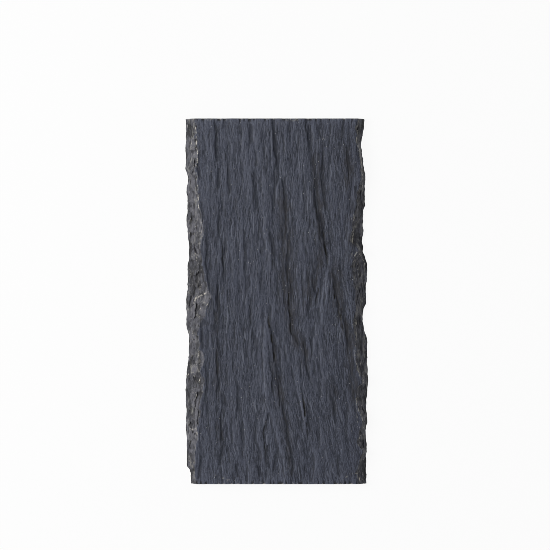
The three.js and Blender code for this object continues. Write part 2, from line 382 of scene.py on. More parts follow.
# Slopes of the riven face: those with a minus fall away to the right and are dark, the others
# rise to the right and catch the light. Their tone is painted into the colour as well: painted
# shade along the dark ones, painted highlight along the light ones.
FOLDS = (
    # dark, beside the left band
    Fold(-2.5, 1.5, ((248, 12), (259, 9.5), (274, 11))),
    Fold(-2, 1.5, ((213, 13), (233, 12))),
    Fold(-2, 1.5, ((128, 12), (140, 12))),
    Fold(-2.5, 1.5, ((110, 13), (128, 13))),
    Fold(-2, 1.5, ((2, 10.5), (20, 12), (49, 11))),
    Fold(-2.2, 1.5, ((56, 17), (73, 15.5), (87, 17), (110, 14.5))),
    Fold(-2.5, 1.5, ((140, 20), (153, 21), (167, 18), (182, 16), (194, 17), (213, 16))),
    Fold(-1.2, 1.5, ((274, 19.5), (295, 19.5))),
    Fold(-3, 2, ((264, 24.5), (289, 24.5), (300, 22.5))),
    Fold(-2, 1.5, ((242, 26), (259, 26))),
    Fold(-1.5, 1.5, ((223, 27.5), (236, 26))),
    Fold(-2, 1.5, ((200, 27), (215, 26), (226, 27))),
    Fold(-3, 1.8, ((164, 28.5), (177, 31), (184, 30), (192, 31), (202, 28.5))),
    Fold(-2.5, 1.5, ((141, 27), (153, 25), (164, 26))),
    Fold(-1.5, 1.5, ((131, 24.5), (143, 23.5))),
    Fold(-1.5, 1.2, ((126, 29.5), (140, 29.5))),
    Fold(-1.5, 1.5, ((100, 23.5), (114, 22.5), (131, 21))),
    Fold(-2.5, 1.5, ((58, 25), (76, 25), (85, 27), (92, 25), (108, 27.5), (118, 26))),
    Fold(-1.5, 1.2, ((54, 29.5), (77, 30))),
    Fold(-3.5, 2.7, ((15, 27.5), (33, 29.5), (43, 28.5), (58, 27.5))),
    Fold(-1.5, 1.2, ((291, 30), (300, 31))),
    Fold(-1.5, 1, ((228, 34), (254, 34), (270, 33.5), (282, 32.5))),
    # dark, left of the middle
    Fold(-1.2, 1.2, ((245, 41.5), (274, 40), (290, 39))),
    Fold(-1.5, 1.5, ((233, 44), (246, 41.5))),
    Fold(-2.5, 1.2, ((54, 41.5), (65, 42.5), (82, 42.5))),
    Fold(-1.5, 1.2, ((5, 42.5), (18, 40.5))),
    Fold(-1.8, 1.5, ((20, 45), (35, 45.5), (49, 45))),
    Fold(-2, 1.5, ((159, 49), (182, 48), (196, 48), (210, 46.5))),
    Fold(-1.5, 1.5, ((277, 51.5), (290, 51.5), (297, 50.5))),
    Fold(-1.8, 1.5, ((105, 54), (128, 54.5), (136, 52), (153, 52))),
    Fold(-2, 1.2, ((223, 57), (241, 56.5), (256, 54.5))),
    Fold(-2.5, 1.5, ((5, 60.5), (17, 59))),
    Fold(-1.2, 1.2, ((159, 61), (176, 60.5))),
    Fold(-2.2, 1.5, ((36, 65.5), (45, 64.5), (58, 68))),
    Fold(-2, 1.5, ((20, 66), (36, 67))),
    # dark, in the middle
    Fold(-1.7, 1.2, ((212, 71), (229, 71), (245, 69.5))),
    Fold(-2, 1.2, ((177, 72.5), (192, 71), (200, 69.5), (212, 67))),
    Fold(-3.5, 1.2, ((100, 72.5), (114, 72), (125, 70), (137, 68))),
    Fold(-2.5, 1.2, ((72, 71), (94, 71))),
    Fold(-1.5, 1.5, ((8, 71), (18, 72.5), (31, 72))),
    Fold(-2.5, 1.8, ((258, 74.5), (267, 75), (274, 72.5), (290, 72), (300, 69.5))),
    Fold(-1, 1.5, ((287, 75), (300, 76))),
    Fold(-1.2, 1.5, ((136, 76), (151, 74.5), (159, 75), (179, 72.5))),
    Fold(-2.4, 1.8, ((63, 79.5), (81, 75), (90, 75), (107, 72.5))),
    Fold(-1.7, 1.8, ((22, 86.5), (36, 84), (49, 81.5), (67, 78.5))),
    Fold(-3, 2, ((213, 81), (223, 81.5), (243, 80), (253, 78.5))),
    Fold(-1.7, 2, ((172, 81.5), (200, 84), (207, 82.5), (220, 81))),
    Fold(-1.8, 1.8, ((145, 85), (163, 86), (177, 82.5))),
    Fold(-1.5, 1.5, ((287, 85), (302, 84))),
    Fold(-2.3, 1.7, ((112, 94), (118, 90), (124, 87), (138, 86), (148, 84.5))),
    Fold(-2.4, 1.7, ((-1, 88.5), (10, 86.5), (16, 87.5), (28, 86))),
    Fold(-1.5, 1.5, ((30, 91.5), (43, 90))),
    Fold(-1.5, 1.2, ((87, 94), (102, 95))),
    Fold(-1.5, 1.5, ((2, 97.5), (16, 97.5), (33, 95))),
    # dark, right of the middle
    Fold(-2.5, 1.2, ((41, 100.5), (56, 100), (67, 98))),
    Fold(-2.2, 1.5, ((82, 101.5), (106, 98), (120, 95.5))),
    Fold(-1.8, 1.5, ((135, 99), (153, 100))),
    Fold(-3.2, 2.3, ((275, 100.5), (292, 99), (302, 98))),
    Fold(-1, 1.5, ((254, 103), (272, 103))),
    Fold(-2.2, 2.5, ((141, 105.5), (154, 106.5), (163, 104), (171, 104), (182, 109))),
    Fold(-1.8, 2, ((215, 109), (237, 105.5), (251, 106))),
    Fold(-1.5, 1.5, ((284, 109), (300, 107))),
    Fold(-2, 1.5, ((182, 110.5), (200, 110.5), (223, 109))),
    Fold(-1.5, 1.2, ((222, 116), (233, 113), (254, 111), (266, 112), (286, 111))),
    Fold(-3.5, 2.5, ((185, 116), (204, 112), (213, 112), (222, 109.5))),
    # dark, beside the right band
    Fold(-1.8, 1.7, ((58, 121), (72, 122), (94, 120))),
    Fold(-2.5, 1.5, ((151, 123.5), (161, 122), (172, 122))),
    Fold(-2, 1.5, ((5, 124.5), (25, 124.5))),
    Fold(-2, 1.5, ((141, 125), (153, 123.5))),
    Fold(-1.2, 1.5, ((285, 130), (299, 127.5))),
    Fold(-3, 1.8, ((110, 133.5), (122, 131.5), (131, 131), (145, 126))),
    Fold(-1.8, 1.5, ((241, 135), (254, 133.5), (279, 131))),
    # light, left of the middle
    Fold(1.2, 1.5, ((269, 16), (290, 16))),
    Fold(1.2, 1.5, ((171, 22.5), (194, 22.5))),
    Fold(1.5, 1.5, ((7, 25), (23, 24.5))),
    Fold(1.5, 1.5, ((185, 34), (205, 34))),
    Fold(2, 1.8, ((33, 36), (49, 34), (64, 31.5))),
    Fold(1.2, 2, ((72, 35), (100, 35))),
    Fold(1.5, 1.5, ((17, 37.5), (30, 36))),
    Fold(2, 1.2, ((33, 40), (54, 38.5))),
    Fold(1.4, 1.5, ((263, 46.5), (278, 46.5), (295, 47.5))),
    Fold(1.5, 2, ((240, 47.5), (267, 47.5))),
    Fold(1.8, 1.5, ((31, 49), (54, 48))),
    Fold(1.8, 1.5, ((0, 51.5), (17, 52))),
    Fold(2.4, 2, ((156, 53), (172, 54))),
    Fold(2, 1.5, ((272, 58), (282, 56.5), (299, 54.5))),
    Fold(2, 1.2, ((260, 60.5), (274, 59))),
    Fold(2.2, 1.5, ((17, 63), (28, 62), (36, 59), (49, 59))),
    Fold(2.5, 1.2, ((238, 63), (258, 63))),
    Fold(2.5, 2.7, ((76, 64.5), (98, 63.5), (126, 64.5), (141, 66))),
    Fold(1.8, 1.5, ((66, 65.5), (77, 66))),
    Fold(1.8, 1.2, ((-1, 66), (12, 68.5))),
    Fold(2.3, 1.5, ((177, 68.5), (190, 68), (199, 66), (208, 63.5), (223, 65.5))),
    # light, in the middle
    Fold(2.2, 1.2, ((133, 71), (148, 71))),
    Fold(2, 1, ((222, 73.5), (243, 75), (253, 78.5))),
    Fold(2.6, 2, ((-1, 81.5), (12, 81), (22, 80), (30, 77), (45, 73.5), (63, 68.5))),
    Fold(2.2, 1.5, ((267, 81.5), (289, 81.5))),
    Fold(2, 1.5, ((100, 83.5), (115, 81.5))),
    Fold(2, 1.8, ((77, 91.5), (90, 89), (102, 86.5))),
    Fold(1.2, 1.5, ((207, 91.5), (226, 90.5))),
    Fold(1.8, 1.5, ((159, 91.5), (181, 90.5))),
    Fold(1.8, 1.5, ((251, 93), (274, 93), (287, 94))),
    Fold(2.3, 1.5, ((138, 94), (153, 94))),
    Fold(2.6, 2, ((43, 97.5), (57, 96.5), (67, 94), (79, 90))),
    Fold(2, 1.5, ((158, 98), (181, 96.5))),
    Fold(1.8, 2, ((189, 100), (200, 98), (215, 97.5))),
    # light, right of the middle
    Fold(2, 1.2, ((272, 104.5), (299, 104.5))),
    Fold(1.7, 2, ((-1, 104.5), (16, 106.5), (30, 105.5))),
    Fold(2, 2, ((97, 105.5), (114, 104.5), (130, 107))),
    Fold(2, 2.5, ((67, 111), (85, 113), (98, 111), (122, 109.5))),
    Fold(2, 1.8, ((28, 110.5), (49, 111))),
    Fold(3, 1.8, ((130, 110.5), (147, 111), (159, 113), (167, 113.5), (176, 116), (184, 118))),
    Fold(2.6, 2, ((146, 114.5), (169, 116))),
    Fold(2.2, 1.5, ((243, 117), (258, 119.5), (274, 120))),
    Fold(1.4, 1.5, ((277, 121), (300, 119.5))),
    Fold(1.8, 1.2, ((18, 127.5), (35, 128.5))),
    Fold(1.8, 1.5, ((172, 131.5), (187, 130))),
    Fold(2.2, 1.5, ((200, 133.5), (222, 133.5))),
    Fold(1.5, 1.5, ((38, 133.5), (53, 134), (67, 135))),
)
# Broad troughs, dark, and broad backs, light, of the riven face. In the colour they are partly
# the stone's browner layers and partly painted shade and painted light.
SHADES = (
    Fold(-0.65, 6, ((95, 98), (108, 96), (131, 87), (159, 83), (208, 83), (241, 79))),
    Fold(-0.6, 5.5, ((145, 98), (182, 110), (200, 112), (233, 109), (274, 107))),
    Fold(-0.5, 5, ((2, 87), (36, 84), (53, 81), (90, 75), (122, 72))),
    Fold(-0.7, 5, ((67, 137), (94, 137), (126, 133), (143, 127), (179, 123))),
    Fold(-0.4, 4, ((67, 27), (102, 26), (167, 24))),
    Fold(-0.5, 3.5, ((30, 29), (51, 28))),
    Fold(-0.7, 5, ((241, 133), (276, 133))),
    Fold(-0.4, 5, ((163, 137), (229, 137))),
    Fold(-0.5, 5, ((54, 120), (85, 121))),
    Fold(-0.35, 4, ((274, 73), (297, 71))),
    Fold(-0.4, 3.5, ((281, 97), (300, 97))),
    Fold(-0.4, 5.5, ((281, 127), (297, 128))),
    Fold(0.7, 10, ((231, 57), (249, 55), (274, 53), (305, 53))),
    Fold(0.7, 6.5, ((221, 15), (305, 16))),
    Fold(0.4, 6.5, ((229, 33), (303, 33))),
    Fold(0.5, 4, ((166, 64), (231, 64))),
    Fold(0.65, 5, ((69, 63), (118, 64), (158, 63))),
    Fold(0.7, 4, ((-3, 81), (36, 74), (63, 70))),
    Fold(0.5, 4, ((182, 96), (233, 93), (292, 92))),
    Fold(0.3, 4, ((71, 109), (126, 109), (167, 111))),
    Fold(0.35, 6.5, ((-5, 104), (40, 102))),
    Fold(0.3, 8, ((-5, 49), (65, 49))),
    Fold(0.65, 5, ((-5, 17), (54, 17))),
    Fold(0.5, 4, ((66, 92), (106, 92))),
    Fold(0.35, 6.5, ((159, 45), (218, 45))),
)
# Dark open cracks: (depth, half width, line).
CRACKS = (
    (1.0, 0.5, ((96, 73.2), (113.4, 71.9), (126.5, 69.4), (141, 67.6))),
    (0.55, 0.4, ((60, 77.8), (72, 77.2), (88, 76.2))),
    (0.5, 0.5, ((12, 66.3), (31.4, 65.3), (42.9, 63.7), (60, 69))),
    (0.9, 0.6, ((39, 100.8), (59.3, 98.1), (74, 96.4))),
    (0.9, 0.45, ((118, 89.5), (125, 86.6), (137, 85.8), (150, 85), (163, 84.2))),
    (0.5, 0.4, ((107, 96.9), (117, 96.9))),
    (0.5, 0.4, ((210, 109), (222, 108), (231, 107.3))),
    (1.0, 0.45, ((181, 117), (190, 115.6), (199, 114), (210, 112.2))),
    (0.5, 0.4, ((194, 69.6), (202, 68.2), (210, 66.8))),
    (0.5, 0.4, ((175, 72), (182, 71.5), (190, 71))),
    (0.5, 0.4, ((172, 111.6), (178, 113.2), (183, 114.7))),
    (0.6, 0.4, ((146, 105.5), (155, 108), (165, 110.5))),
    (0.9, 0.45, ((133, 128.4), (143.7, 124.8), (151, 122.7), (167, 121.4))),
    (0.4, 0.4, ((34, 30.2), (56, 29), (79, 26.7))),
    (0.5, 0.5, ((120, 131.5), (141, 127), (160, 123))),
    (0.5, 0.5, ((181, 30.9), (199, 30.1))),
    (0.4, 0.5, ((227, 56.3), (246, 55.6))),
    (0.5, 0.6, ((86, 27), (101.9, 25.6), (120, 26.5))),
    (0.45, 0.5, ((278, 141.4), (286, 140.2), (297, 140.6))),
    (0.6, 0.4, ((246, 54.9), (250, 55.2), (256, 53.8))),
    (0.5, 0.35, ((262, 32.8), (270, 33.2), (277, 32.4))),
    (0.5, 0.35, ((138, 27.2), (152, 26.8), (164, 27.5))),
    (0.5, 0.35, ((285, 99.5), (296, 98.6))),
)
# Long low swells of the split: (height, wavelength across, wavelength along, phase).
SWELLS = ((0.24, 41, 260, 0.4), (0.2, 19, 170, 2.1), (0.13, 9.5, 120, 4))
# Pale scratches: (strength, half width, line).
SCRATCHES = (
    (1.0, 0.55, ((152.4, 8.2), (154.5, 12.5), (158, 19.0))),
    (0.62, 0.5, ((8, 24), (4.2, 32.5), (1.5, 47))),
    (0.5, 0.45, ((281, 106.3), (287, 121.1))),
    (0.6, 0.5, ((296, 76), (298.4, 80.1), (299.2, 92.6))),
    (0.7, 0.5, ((2, 122), (3.6, 129.3), (9.2, 136))),
    (0.6, 0.45, ((9.5, 133), (8.5, 141))),
)
# Chains of pale bruises, in the same order.
BRUISES = (
    (0.7, 1.1, ((147, 6.5), (152.5, 8.5))),
    (0.9, 0.9, ((45.5, 4.7), (44, 7), (41.5, 9.8))),
    (0.6, 0.5, ((131, 68.6), (138.5, 68.2))),
    (0.5, 0.6, ((299, 17), (299.2, 34))),
    (0.7, 0.5, ((1, 60), (3, 72))),
    (0.95, 0.5, ((8.5, 141), (2.0, 144), (6.0, 148))),
    (0.85, 0.6, ((184, 137), (190.5, 140.6), (187, 144.8), (179, 148.2))),
    (0.85, 0.55, ((95.3, 139.9), (83, 146.5))),
    (0.85, 0.55, ((65, 140.7), (51.9, 145.7))),
    (0.85, 0.55, ((32.2, 141.6), (26.5, 145.7))),
    (0.5, 0.5, ((215, 14.6), (203, 12.5), (190, 9.0), (181, 9.4))),
    (0.85, 0.55, ((140, 139.5), (126, 140.5), (106, 139), (92, 142), (84, 146.5))),
    (0.8, 0.5, ((70, 140), (52, 141.5), (36, 142.5))),
    (0.9, 0.6, ((295, 8.2), (270, 10), (253, 9.6), (237, 10.4), (226, 11.6))),
    (0.8, 0.5, ((222, 138.5), (200, 137.5), (186, 136.5))),
    (0.7, 0.5, ((300, 142), (280, 140.5), (272, 143.4), (262, 145.2), (240, 145.8))),
)
# Bites out of the top arris of the sawn ends: (end station, inset, half width, depth).
END_CHIPS = (
    (0, 41, 9, 0.7), (0, 134, 8, 1.1), (0, 88, 6, 0.5), (300, 86, 7, 0.7), (300, 30, 8, 0.6),
    (0, 61, 4, 0.35), (0, 110, 5, 0.4), (300, 56, 5, 0.35), (300, 121, 6, 0.45), (0, 19, 4, 0.5),
)
# Shallow spalls in the bed: (station, inset, half length, half width, depth).
SPALLS = (
    (52, 30, 44, 22, 0.7), (128, 112, 62, 21, 0.9), (236, 47, 50, 26, 0.8), (262, 124, 32, 15, 0.6),
)


@dataclass(frozen=True)
class Grain:
    """The lean of the grain: how far it moves right for each millimetre towards the near end."""

    base: float = -0.02
    frames: tuple[float, ...] = (-0.12, 0.0, 0.1, 0.2)

    def lean(self, station: np.ndarray, inset: np.ndarray) -> np.ndarray:
        """Lean of the grain.

        Args:
            station: stations of the points.
            inset: insets of the points.

        Returns:
            The lean at each point.
        """
        total = np.full(inset.shape, self.base)
        for middle, across, half_length, half_width, lean in LEANS:
            spread = ((station - middle) / half_length) ** 2 + ((inset - across) / half_width) ** 2
            total += lean * np.exp(-spread)
        return total

    def read(self, fibres: Fibres, station: np.ndarray, inset: np.ndarray) -> np.ndarray:
        """Reads a field of straight fibres, turned at each point to the lean there.

        Args:
            fibres: the field, a function of the place across and the place along.
            station: stations of the points.
            inset: insets of the points.

        Returns:
            The values of the field.
        """
        frames = np.array(self.frames)
        lean = np.clip(self.lean(station, inset), frames[0], frames[-1])
        total, weights = np.zeros(inset.shape), np.zeros(inset.shape)
        for place, frame in enumerate(frames):
            near = np.interp(lean, frames, np.eye(len(frames))[place]) ** 3
            total += near * fibres(inset + frame * station, station)
            weights += near
        return total / weights


@dataclass(frozen=True)
class RivenFace:
    """The relief of the riven face."""

    grain: Grain = field(default_factory=Grain)
    level: float = THICKNESS - 1.1
    fall: float = 1.3
    crisp_fall: float = 0.4
    crisp_share: float = 0.45
    rise_share: float = 0.4
    wander: float = 0.45
    chip_reach: float = 4.0
    ledge_share: float = 0.35
    fold_height: float = 0.22
    fold_core: float = 0.6
    fold_run: float = 6.5
    # strengths of the tone of the folds, painted into the colour as shade and highlight
    halo_tone: float = 0.4
    core_tone: float = 0.66
    shade_height: float = 0.12
    shade_fade: float = 12.0
    end_glow: float = 0.9
    worn_end: float = 0.85
    worn_reach: float = 0.8
    nick_depth: float = 0.6
    nick_reach: float = 2.0

    def ledge(self, ledge: Ledge, station: np.ndarray, inset: np.ndarray, seed: int) -> np.ndarray:
        """Height that one ledge adds.

        Args:
            ledge: the ledge.
            station: stations of the points.
            inset: insets of the points.
            seed: seed of the ledge's small wanderings.

        Returns:
            Heights in millimetres.
        """
        noise = Noise(seed)
        stray = self.wander * (noise.along(station / 11) + 0.6 * noise.along(station / 3.3 + 40))
        stray += terraced(1.6 * noise.along(station / 14 + 70), 0.9, 0.12)
        strength = spindle(ledge.line, station) * (0.75 + 0.5 * noise.along(station / 8 + 90))
        beyond = inset - straight(ledge.line, station) - stray
        soft = (1 + np.tanh(beyond / self.fall)) / 2
        crisp = (1 + np.tanh(beyond / self.crisp_fall)) / 2
        low_side = soft + (crisp - soft) * self.crisp_share
        fade = np.exp(-np.abs(beyond) / ledge.run)
        return self.ledge_share * ledge.drop * strength * (self.rise_share - low_side) * fade

    def folds(self, station: np.ndarray, inset: np.ndarray) -> tuple[np.ndarray, np.ndarray]:
        """Works out the folds.

        Args:
            station: stations of the points.
            inset: insets of the points.

        Returns:
            The heights they add, and their tone: painted shade below 0, painted highlight over 0.
        """
        height, tone = np.zeros(inset.shape), np.zeros(inset.shape)
        stray = 0.45 * Noise(31).at(inset / 9, station / 15)
        stray += 0.4 * Noise(32).at(inset / 3, station / 6)
        dashed = ramped(-0.35, 0.2, Noise(38).at(inset / 1.6, station / 6))
        for fold in FOLDS:
            level = fold.strength * spindle(fold.line, station)
            beyond = inset - straight(fold.line, station) - stray
            slope = 0.42 * np.tanh(1.25 * beyond / fold.half_width)
            slope += (0.3 + 0.35 * dashed) * np.tanh(beyond / self.fold_core)
            height += self.fold_height * level * slope * np.exp(-np.abs(beyond) / self.fold_run)
            tone += self.halo_tone * level * np.exp(-((1.3 * beyond / fold.half_width) ** 2))
            tone += self.core_tone * level * dashed * np.exp(-((beyond / self.fold_core) ** 2))
        return height, tone

    def shades(self, station: np.ndarray, inset: np.ndarray) -> np.ndarray:
        """Broad troughs and backs, and the paler sawn ends.

        Args:
            station: stations of the points.
            inset: insets of the points.

        Returns:
            Their tone: below 0 in a trough, over 0 on a back, partly painted shade and light.
        """
        total = np.zeros(inset.shape)
        stray = 2.2 * Noise(33).at(inset / 14, station / 22)
        stray += 1.2 * Noise(34).at(inset / 6, station / 9)
        for shade in SHADES:
            start, end = shade.line[0][0], shade.line[-1][0]
            fade = ramped(start - self.shade_fade, start + self.shade_fade, station)
            fade *= ramped(end + self.shade_fade, end - self.shade_fade, station)
            beyond = (inset - straight(shade.line, station) - stray) / shade.half_width
            total += shade.strength * fade * np.exp(-(beyond**2))
        ends = np.exp(-(LENGTH - station) / 4.5) + 0.8 * np.exp(-station / 4)
        return total + self.end_glow * ends

    def pale_marks(self, station: np.ndarray, inset: np.ndarray) -> np.ndarray:
        """Strength of the pale scratches and bruises, and of the wear on the sawn arrises.

        Args:
            station: stations of the points.
            inset: insets of the points.

        Returns:
            Strengths from 0 to 1.
        """
        total = np.zeros(inset.shape)
        broken = ramped(-0.4, 0.0, Noise(36).at(inset / 2.2, station / 3.2))
        inset = inset + 0.6 * Noise(37).at(inset / 6, station / 7)
        for marks, kept in ((SCRATCHES, 1), (BRUISES, broken)):
            for strength, half_width, line in marks:
                for (start, start_inset), (end, end_inset) in zip(line, line[1:]):
                    run, rise = end - start, end_inset - start_inset
                    past, beside = station - start, inset - start_inset
                    share = np.clip((past * run + beside * rise) / (run**2 + rise**2), 0, 1)
                    away = np.hypot(past - share * run, beside - share * rise)
                    total = np.maximum(total, kept * strength * np.exp(-((away / half_width) ** 2)))
        to_end = np.minimum(station, LENGTH - station)
        worn = ramped(-0.1, 0.2, Noise(35).at(inset / 3, station / LENGTH * 3))
        worn *= self.worn_end * np.exp(-((to_end / self.worn_reach) ** 2))
        return np.maximum(total, worn)

    def crack_depth(self, station: np.ndarray, inset: np.ndarray, widen: float = 1) -> np.ndarray:
        """Depth of the open cracks and of the nicks at the sawn ends.

        Args:
            station: stations of the points.
            inset: insets of the points.
            widen: factor on the width of each crack.

        Returns:
            Depths in millimetres.
        """
        total = np.zeros(inset.shape)
        for seed, (depth, half_width, line) in enumerate(CRACKS):
            stray = 0.5 * Noise(300 + seed).along(station / 4.5)
            beyond = (inset - straight(line, station) - stray) / (half_width * widen)
            open_part = ramped(-0.35, 0.1, Noise(400 + seed).along(station / 5))
            total += depth * spindle(line, station) * open_part * np.exp(-(beyond**2))
        to_end = np.minimum(station, LENGTH - station)
        nicks = ramped(0.1, 0.4, Noise(39).at(inset / 1.9, 0.5 + station / LENGTH * 3))
        return total + self.nick_depth * nicks * np.exp(-((to_end / self.nick_reach) ** 2))

    def leaves(self, across: np.ndarray, station: np.ndarray) -> np.ndarray:
        """Stepped relief of the thin leaves that the split runs through.

        Args:
            across: places across the fibres.
            station: places along them.

        Returns:
            Heights in millimetres.
        """
        broad = 0.16 * Noise(11).at(across / 13, station / 70)
        broad += 0.12 * Noise(12).at(across / 5.5, station / 28)
        fine = 0.1 * Noise(13).at(across / 3.4, station / 17)
        bend = 0.6 * Noise(17).at(across / 5, station / 11)
        slivers = 0.10 * Noise(15).facets((across + bend) / 1.15, station / 7)
        slivers += 0.08 * Noise(16).facets((across + 1.5 * bend) / 2.9, station / 17)
        stepped = terraced(broad + 3, 0.22, 0.3) + terraced(fine + 3, 0.12, 0.4)
        return stepped - 6 + slivers

    def end_chips(self, station: np.ndarray, inset: np.ndarray) -> np.ndarray:
        """Depth of the bites in the top arris of the sawn ends.

        Args:
            station: stations of the points.
            inset: insets of the points.

        Returns:
            Depths in millimetres.
        """
        depth = np.zeros(inset.shape)
        for end, middle, half_width, deepest in END_CHIPS:
            reach = np.abs(station - end) / (self.chip_reach * (0.4 + 0.6 * half_width / 9))
            side = (inset - middle) / half_width
            depth += deepest * np.clip(1 - reach**2 - side**2, 0, None)
        return depth

    def height(self, station: np.ndarray, inset: np.ndarray) -> np.ndarray:
        """Height of the riven face.

        Args:
            station: stations of the points.
            inset: insets of the points.

        Returns:
            Heights over the bed, in millimetres.
        """
        z = np.full(inset.shape, self.level)
        for height, wide, long, phase in SWELLS:
            z += 0.5 * height * np.sin(2 * math.pi * (inset / wide + station / long) + phase)
        for seed, ledge in enumerate(LEDGES + SEAMS):
            z += self.ledge(ledge, station, inset, 100 + seed)
        z += self.folds(station, inset)[0] + self.shade_height * self.shades(station, inset)
        z += self.grain.read(self.leaves, station, inset)
        z -= self.crack_depth(station, inset)
        return np.minimum(z, THICKNESS)


@dataclass(frozen=True)
class FlakedEdge:
    """One long edge: its outline, its break line and the flake scars between them."""

    side: Side
    outline: Table
    break_line: Table
    flakes: tuple
    seed: int
    rim: float = 2.0
    rim_wave: float = 0.6
    rim_wavelength: float = 47.0
    power: float = 1.25
    facet_size: tuple[float, float] = (3.8, 8.6)
    facet_depth: float = 1.0
    chip_size: tuple[float, float] = (2.0, 4.6)
    chip_depth: float = 0.34
    shell_depth: float = 0.8
    brink_stray: float = 0.9
    splinter_depth: float = 0.35
    rim_bevel: float = 1.3
    undercut: float = 1.1
    undercut_reach: float = 0.7
    gloom_reach: float = 1.0

    def reach(self, rim: np.ndarray, inset: np.ndarray) -> np.ndarray:
        """Distance of the points in from the rim."""
        return self.side.value * (inset - rim)

    def rim_inset(self, station: np.ndarray) -> np.ndarray:
        """Inset of the rim, with the small notches of its outline.

        Args:
            station: stations along the rim.

        Returns:
            Insets from this edge's widest line.
        """
        notch = Noise(self.seed).along(station / 5.2)
        notch += 0.7 * Noise(self.seed + 1).along(station / 1.9)
        scallop = Noise(self.seed + 9)
        chips = scallop.bowls(station / 6.5, 0.5) + 0.4 * scallop.bowls(station / 2.6, 8.5)
        return eased(self.outline, station) - 0.1 + 0.25 * notch - 1.1 * np.minimum(chips, 0.7)

    def break_inset(self, station: np.ndarray) -> np.ndarray:
        """Inset of the break line."""
        return eased(self.break_line, station)

    def height(
        self, reach: np.ndarray, station: np.ndarray, inset: np.ndarray, top: np.ndarray
    ) -> np.ndarray:
        """Height of the flaked slope, which goes on rising past the break line.

        Args:
            reach: distance of the points from the rim.
            station: stations of the points.
            inset: insets of the points from the slab's left widest line.
            top: height of the riven face at the break line.

        Returns:
            Heights over the bed, in millimetres.
        """
        width = self.break_inset(station) - eased(self.outline, station)
        width = width + self.brink_stray * Noise(self.seed + 15).along(station / 4.5)
        share = np.clip(reach / width, 0, None)
        rim = self.rim + self.rim_wave * np.sin(2 * math.pi * station / self.rim_wavelength)
        scar = np.zeros(station.shape)
        for middle, half, depth in self.flakes:
            scar = np.maximum(scar, depth * np.clip(1 - ((station - middle) / half) ** 2, 0, None))
        rise = np.where(share < 1, share**self.power, 1 + self.power * (share - 1))
        z = rim + (top - rim) * rise - 0.6 * scar * np.sin(math.pi * np.clip(share, 0, 1))
        (big_noise, big_place), (small_noise, small_place) = self.facet_places(station, inset)
        big, small = big_noise.facets(*big_place), small_noise.facets(*small_place)
        shells = Noise(self.seed + 6).bowls((inset + 60) / 5.5, station / 7.5)
        flakes = self.facet_depth * big + self.chip_depth * small + self.shell_depth * (shells - 0.3)
        flakes += self.splinter_depth * Noise(self.seed + 16).at(inset / 1.4, station / 2.8)
        z += (1 - np.exp(-reach / self.rim_bevel)) * flakes
        edge = np.clip(0.6 + 0.8 * Noise(self.seed + 7).along(station / 6.5), 0, 1.2)
        return z - self.undercut * edge * np.exp(-((reach / self.undercut_reach) ** 2))

    def facet_places(self, station: np.ndarray, inset: np.ndarray) -> tuple:
        """Lays out the large and the small facets.

        Args:
            station: stations of the points.
            inset: insets of the points.

        Returns:
            The noise of the large and of the small ones, each with the places to read it at.
        """
        bend = 1.1 * Noise(self.seed + 8).at(inset / 4, station / 6)
        across, along = self.facet_size
        large = Noise(self.seed + 4), ((inset + bend) / across, (station + 2 * bend) / along)
        across, along = self.chip_size
        small = Noise(self.seed + 5), ((inset + 0.4 * bend) / across, (station - bend) / along)
        return large, small

    def facet_marks(self, station: np.ndarray, inset: np.ndarray) -> tuple[np.ndarray, np.ndarray]:
        """Works out how the facets show.

        Args:
            station: stations of the points.
            inset: insets of the points.

        Returns:
            The tone of the facets, from -1 to 1, and the closeness to a line between two of them:
            up to 1 at a worn arris and down to -1 at a split.
        """
        tone, arris = np.zeros(inset.shape), np.zeros(inset.shape)
        sizes = (self.facet_size, self.chip_size)
        for share, width, (noise, place), size in zip(
            (0.6, 0.4), (0.45, 0.3), self.facet_places(station, inset), sizes
        ):
            _, _, i, j, gap = noise.nearest(*place)
            level = np.random.default_rng(noise.seed + 2).uniform(-1, 1, (noise.cells, noise.cells))
            tone += share * level[i, j]
            arris = np.maximum(arris, share / 0.6 * np.exp(-((gap * size[0] / width) ** 2)))
        kind = Noise(self.seed + 13).at(inset / 2.6, station / 9)
        # a split, below 0, is painted black in the finish as the shadow between flakes
        return tone, arris * np.tanh(5 * (kind + 0.12))

    def gloom(self, station: np.ndarray, reach: np.ndarray) -> np.ndarray:
        """Painted shade under the overhanging chips of the rim.

        Args:
            station: stations of the points.
            reach: distance of the points from the rim.

        Returns:
            Shares of shade from 0 to 1.
        """
        chips = ramped(-0.25, 0.35, Noise(self.seed + 12).along(station / 6.5))
        ragged = 0.8 + 0.5 * Noise(self.seed + 14).at(reach / 1.5, station / 3)
        return chips * np.exp(-((reach / (self.gloom_reach * ragged * chips + 0.05)) ** 2))


# Building the stone


def look_only_at(*objects: Object) -> None:
    """Selects these objects and nothing else.

    Args:
        objects: the objects, of which the first is made active.
    """
    bpy.ops.object.select_all(action="DESELECT")
    for thing in objects:
        thing.select_set(True)
    bpy.context.view_layer.objects.active = objects[0]


def places(mesh: Mesh) -> np.ndarray:
    """Reads where the vertices of a mesh are.

    Args:
        mesh: the mesh.

    Returns:
        One row of x, y and z for each vertex.
    """
    flat = np.empty(len(mesh.vertices) * 3)
    mesh.vertices.foreach_get("co", flat)
    return flat.reshape(-1, 3)


def record(mesh: Mesh, name: str, values: np.ndarray) -> None:
    """Stores a number on each vertex of a mesh.

    Args:
        mesh: the mesh.
        name: name of the new attribute.
        values: one number for each vertex.
    """
    layer = mesh.attributes.new(name, "FLOAT", "POINT")
    layer.data.foreach_set("value", values.astype(np.float32))


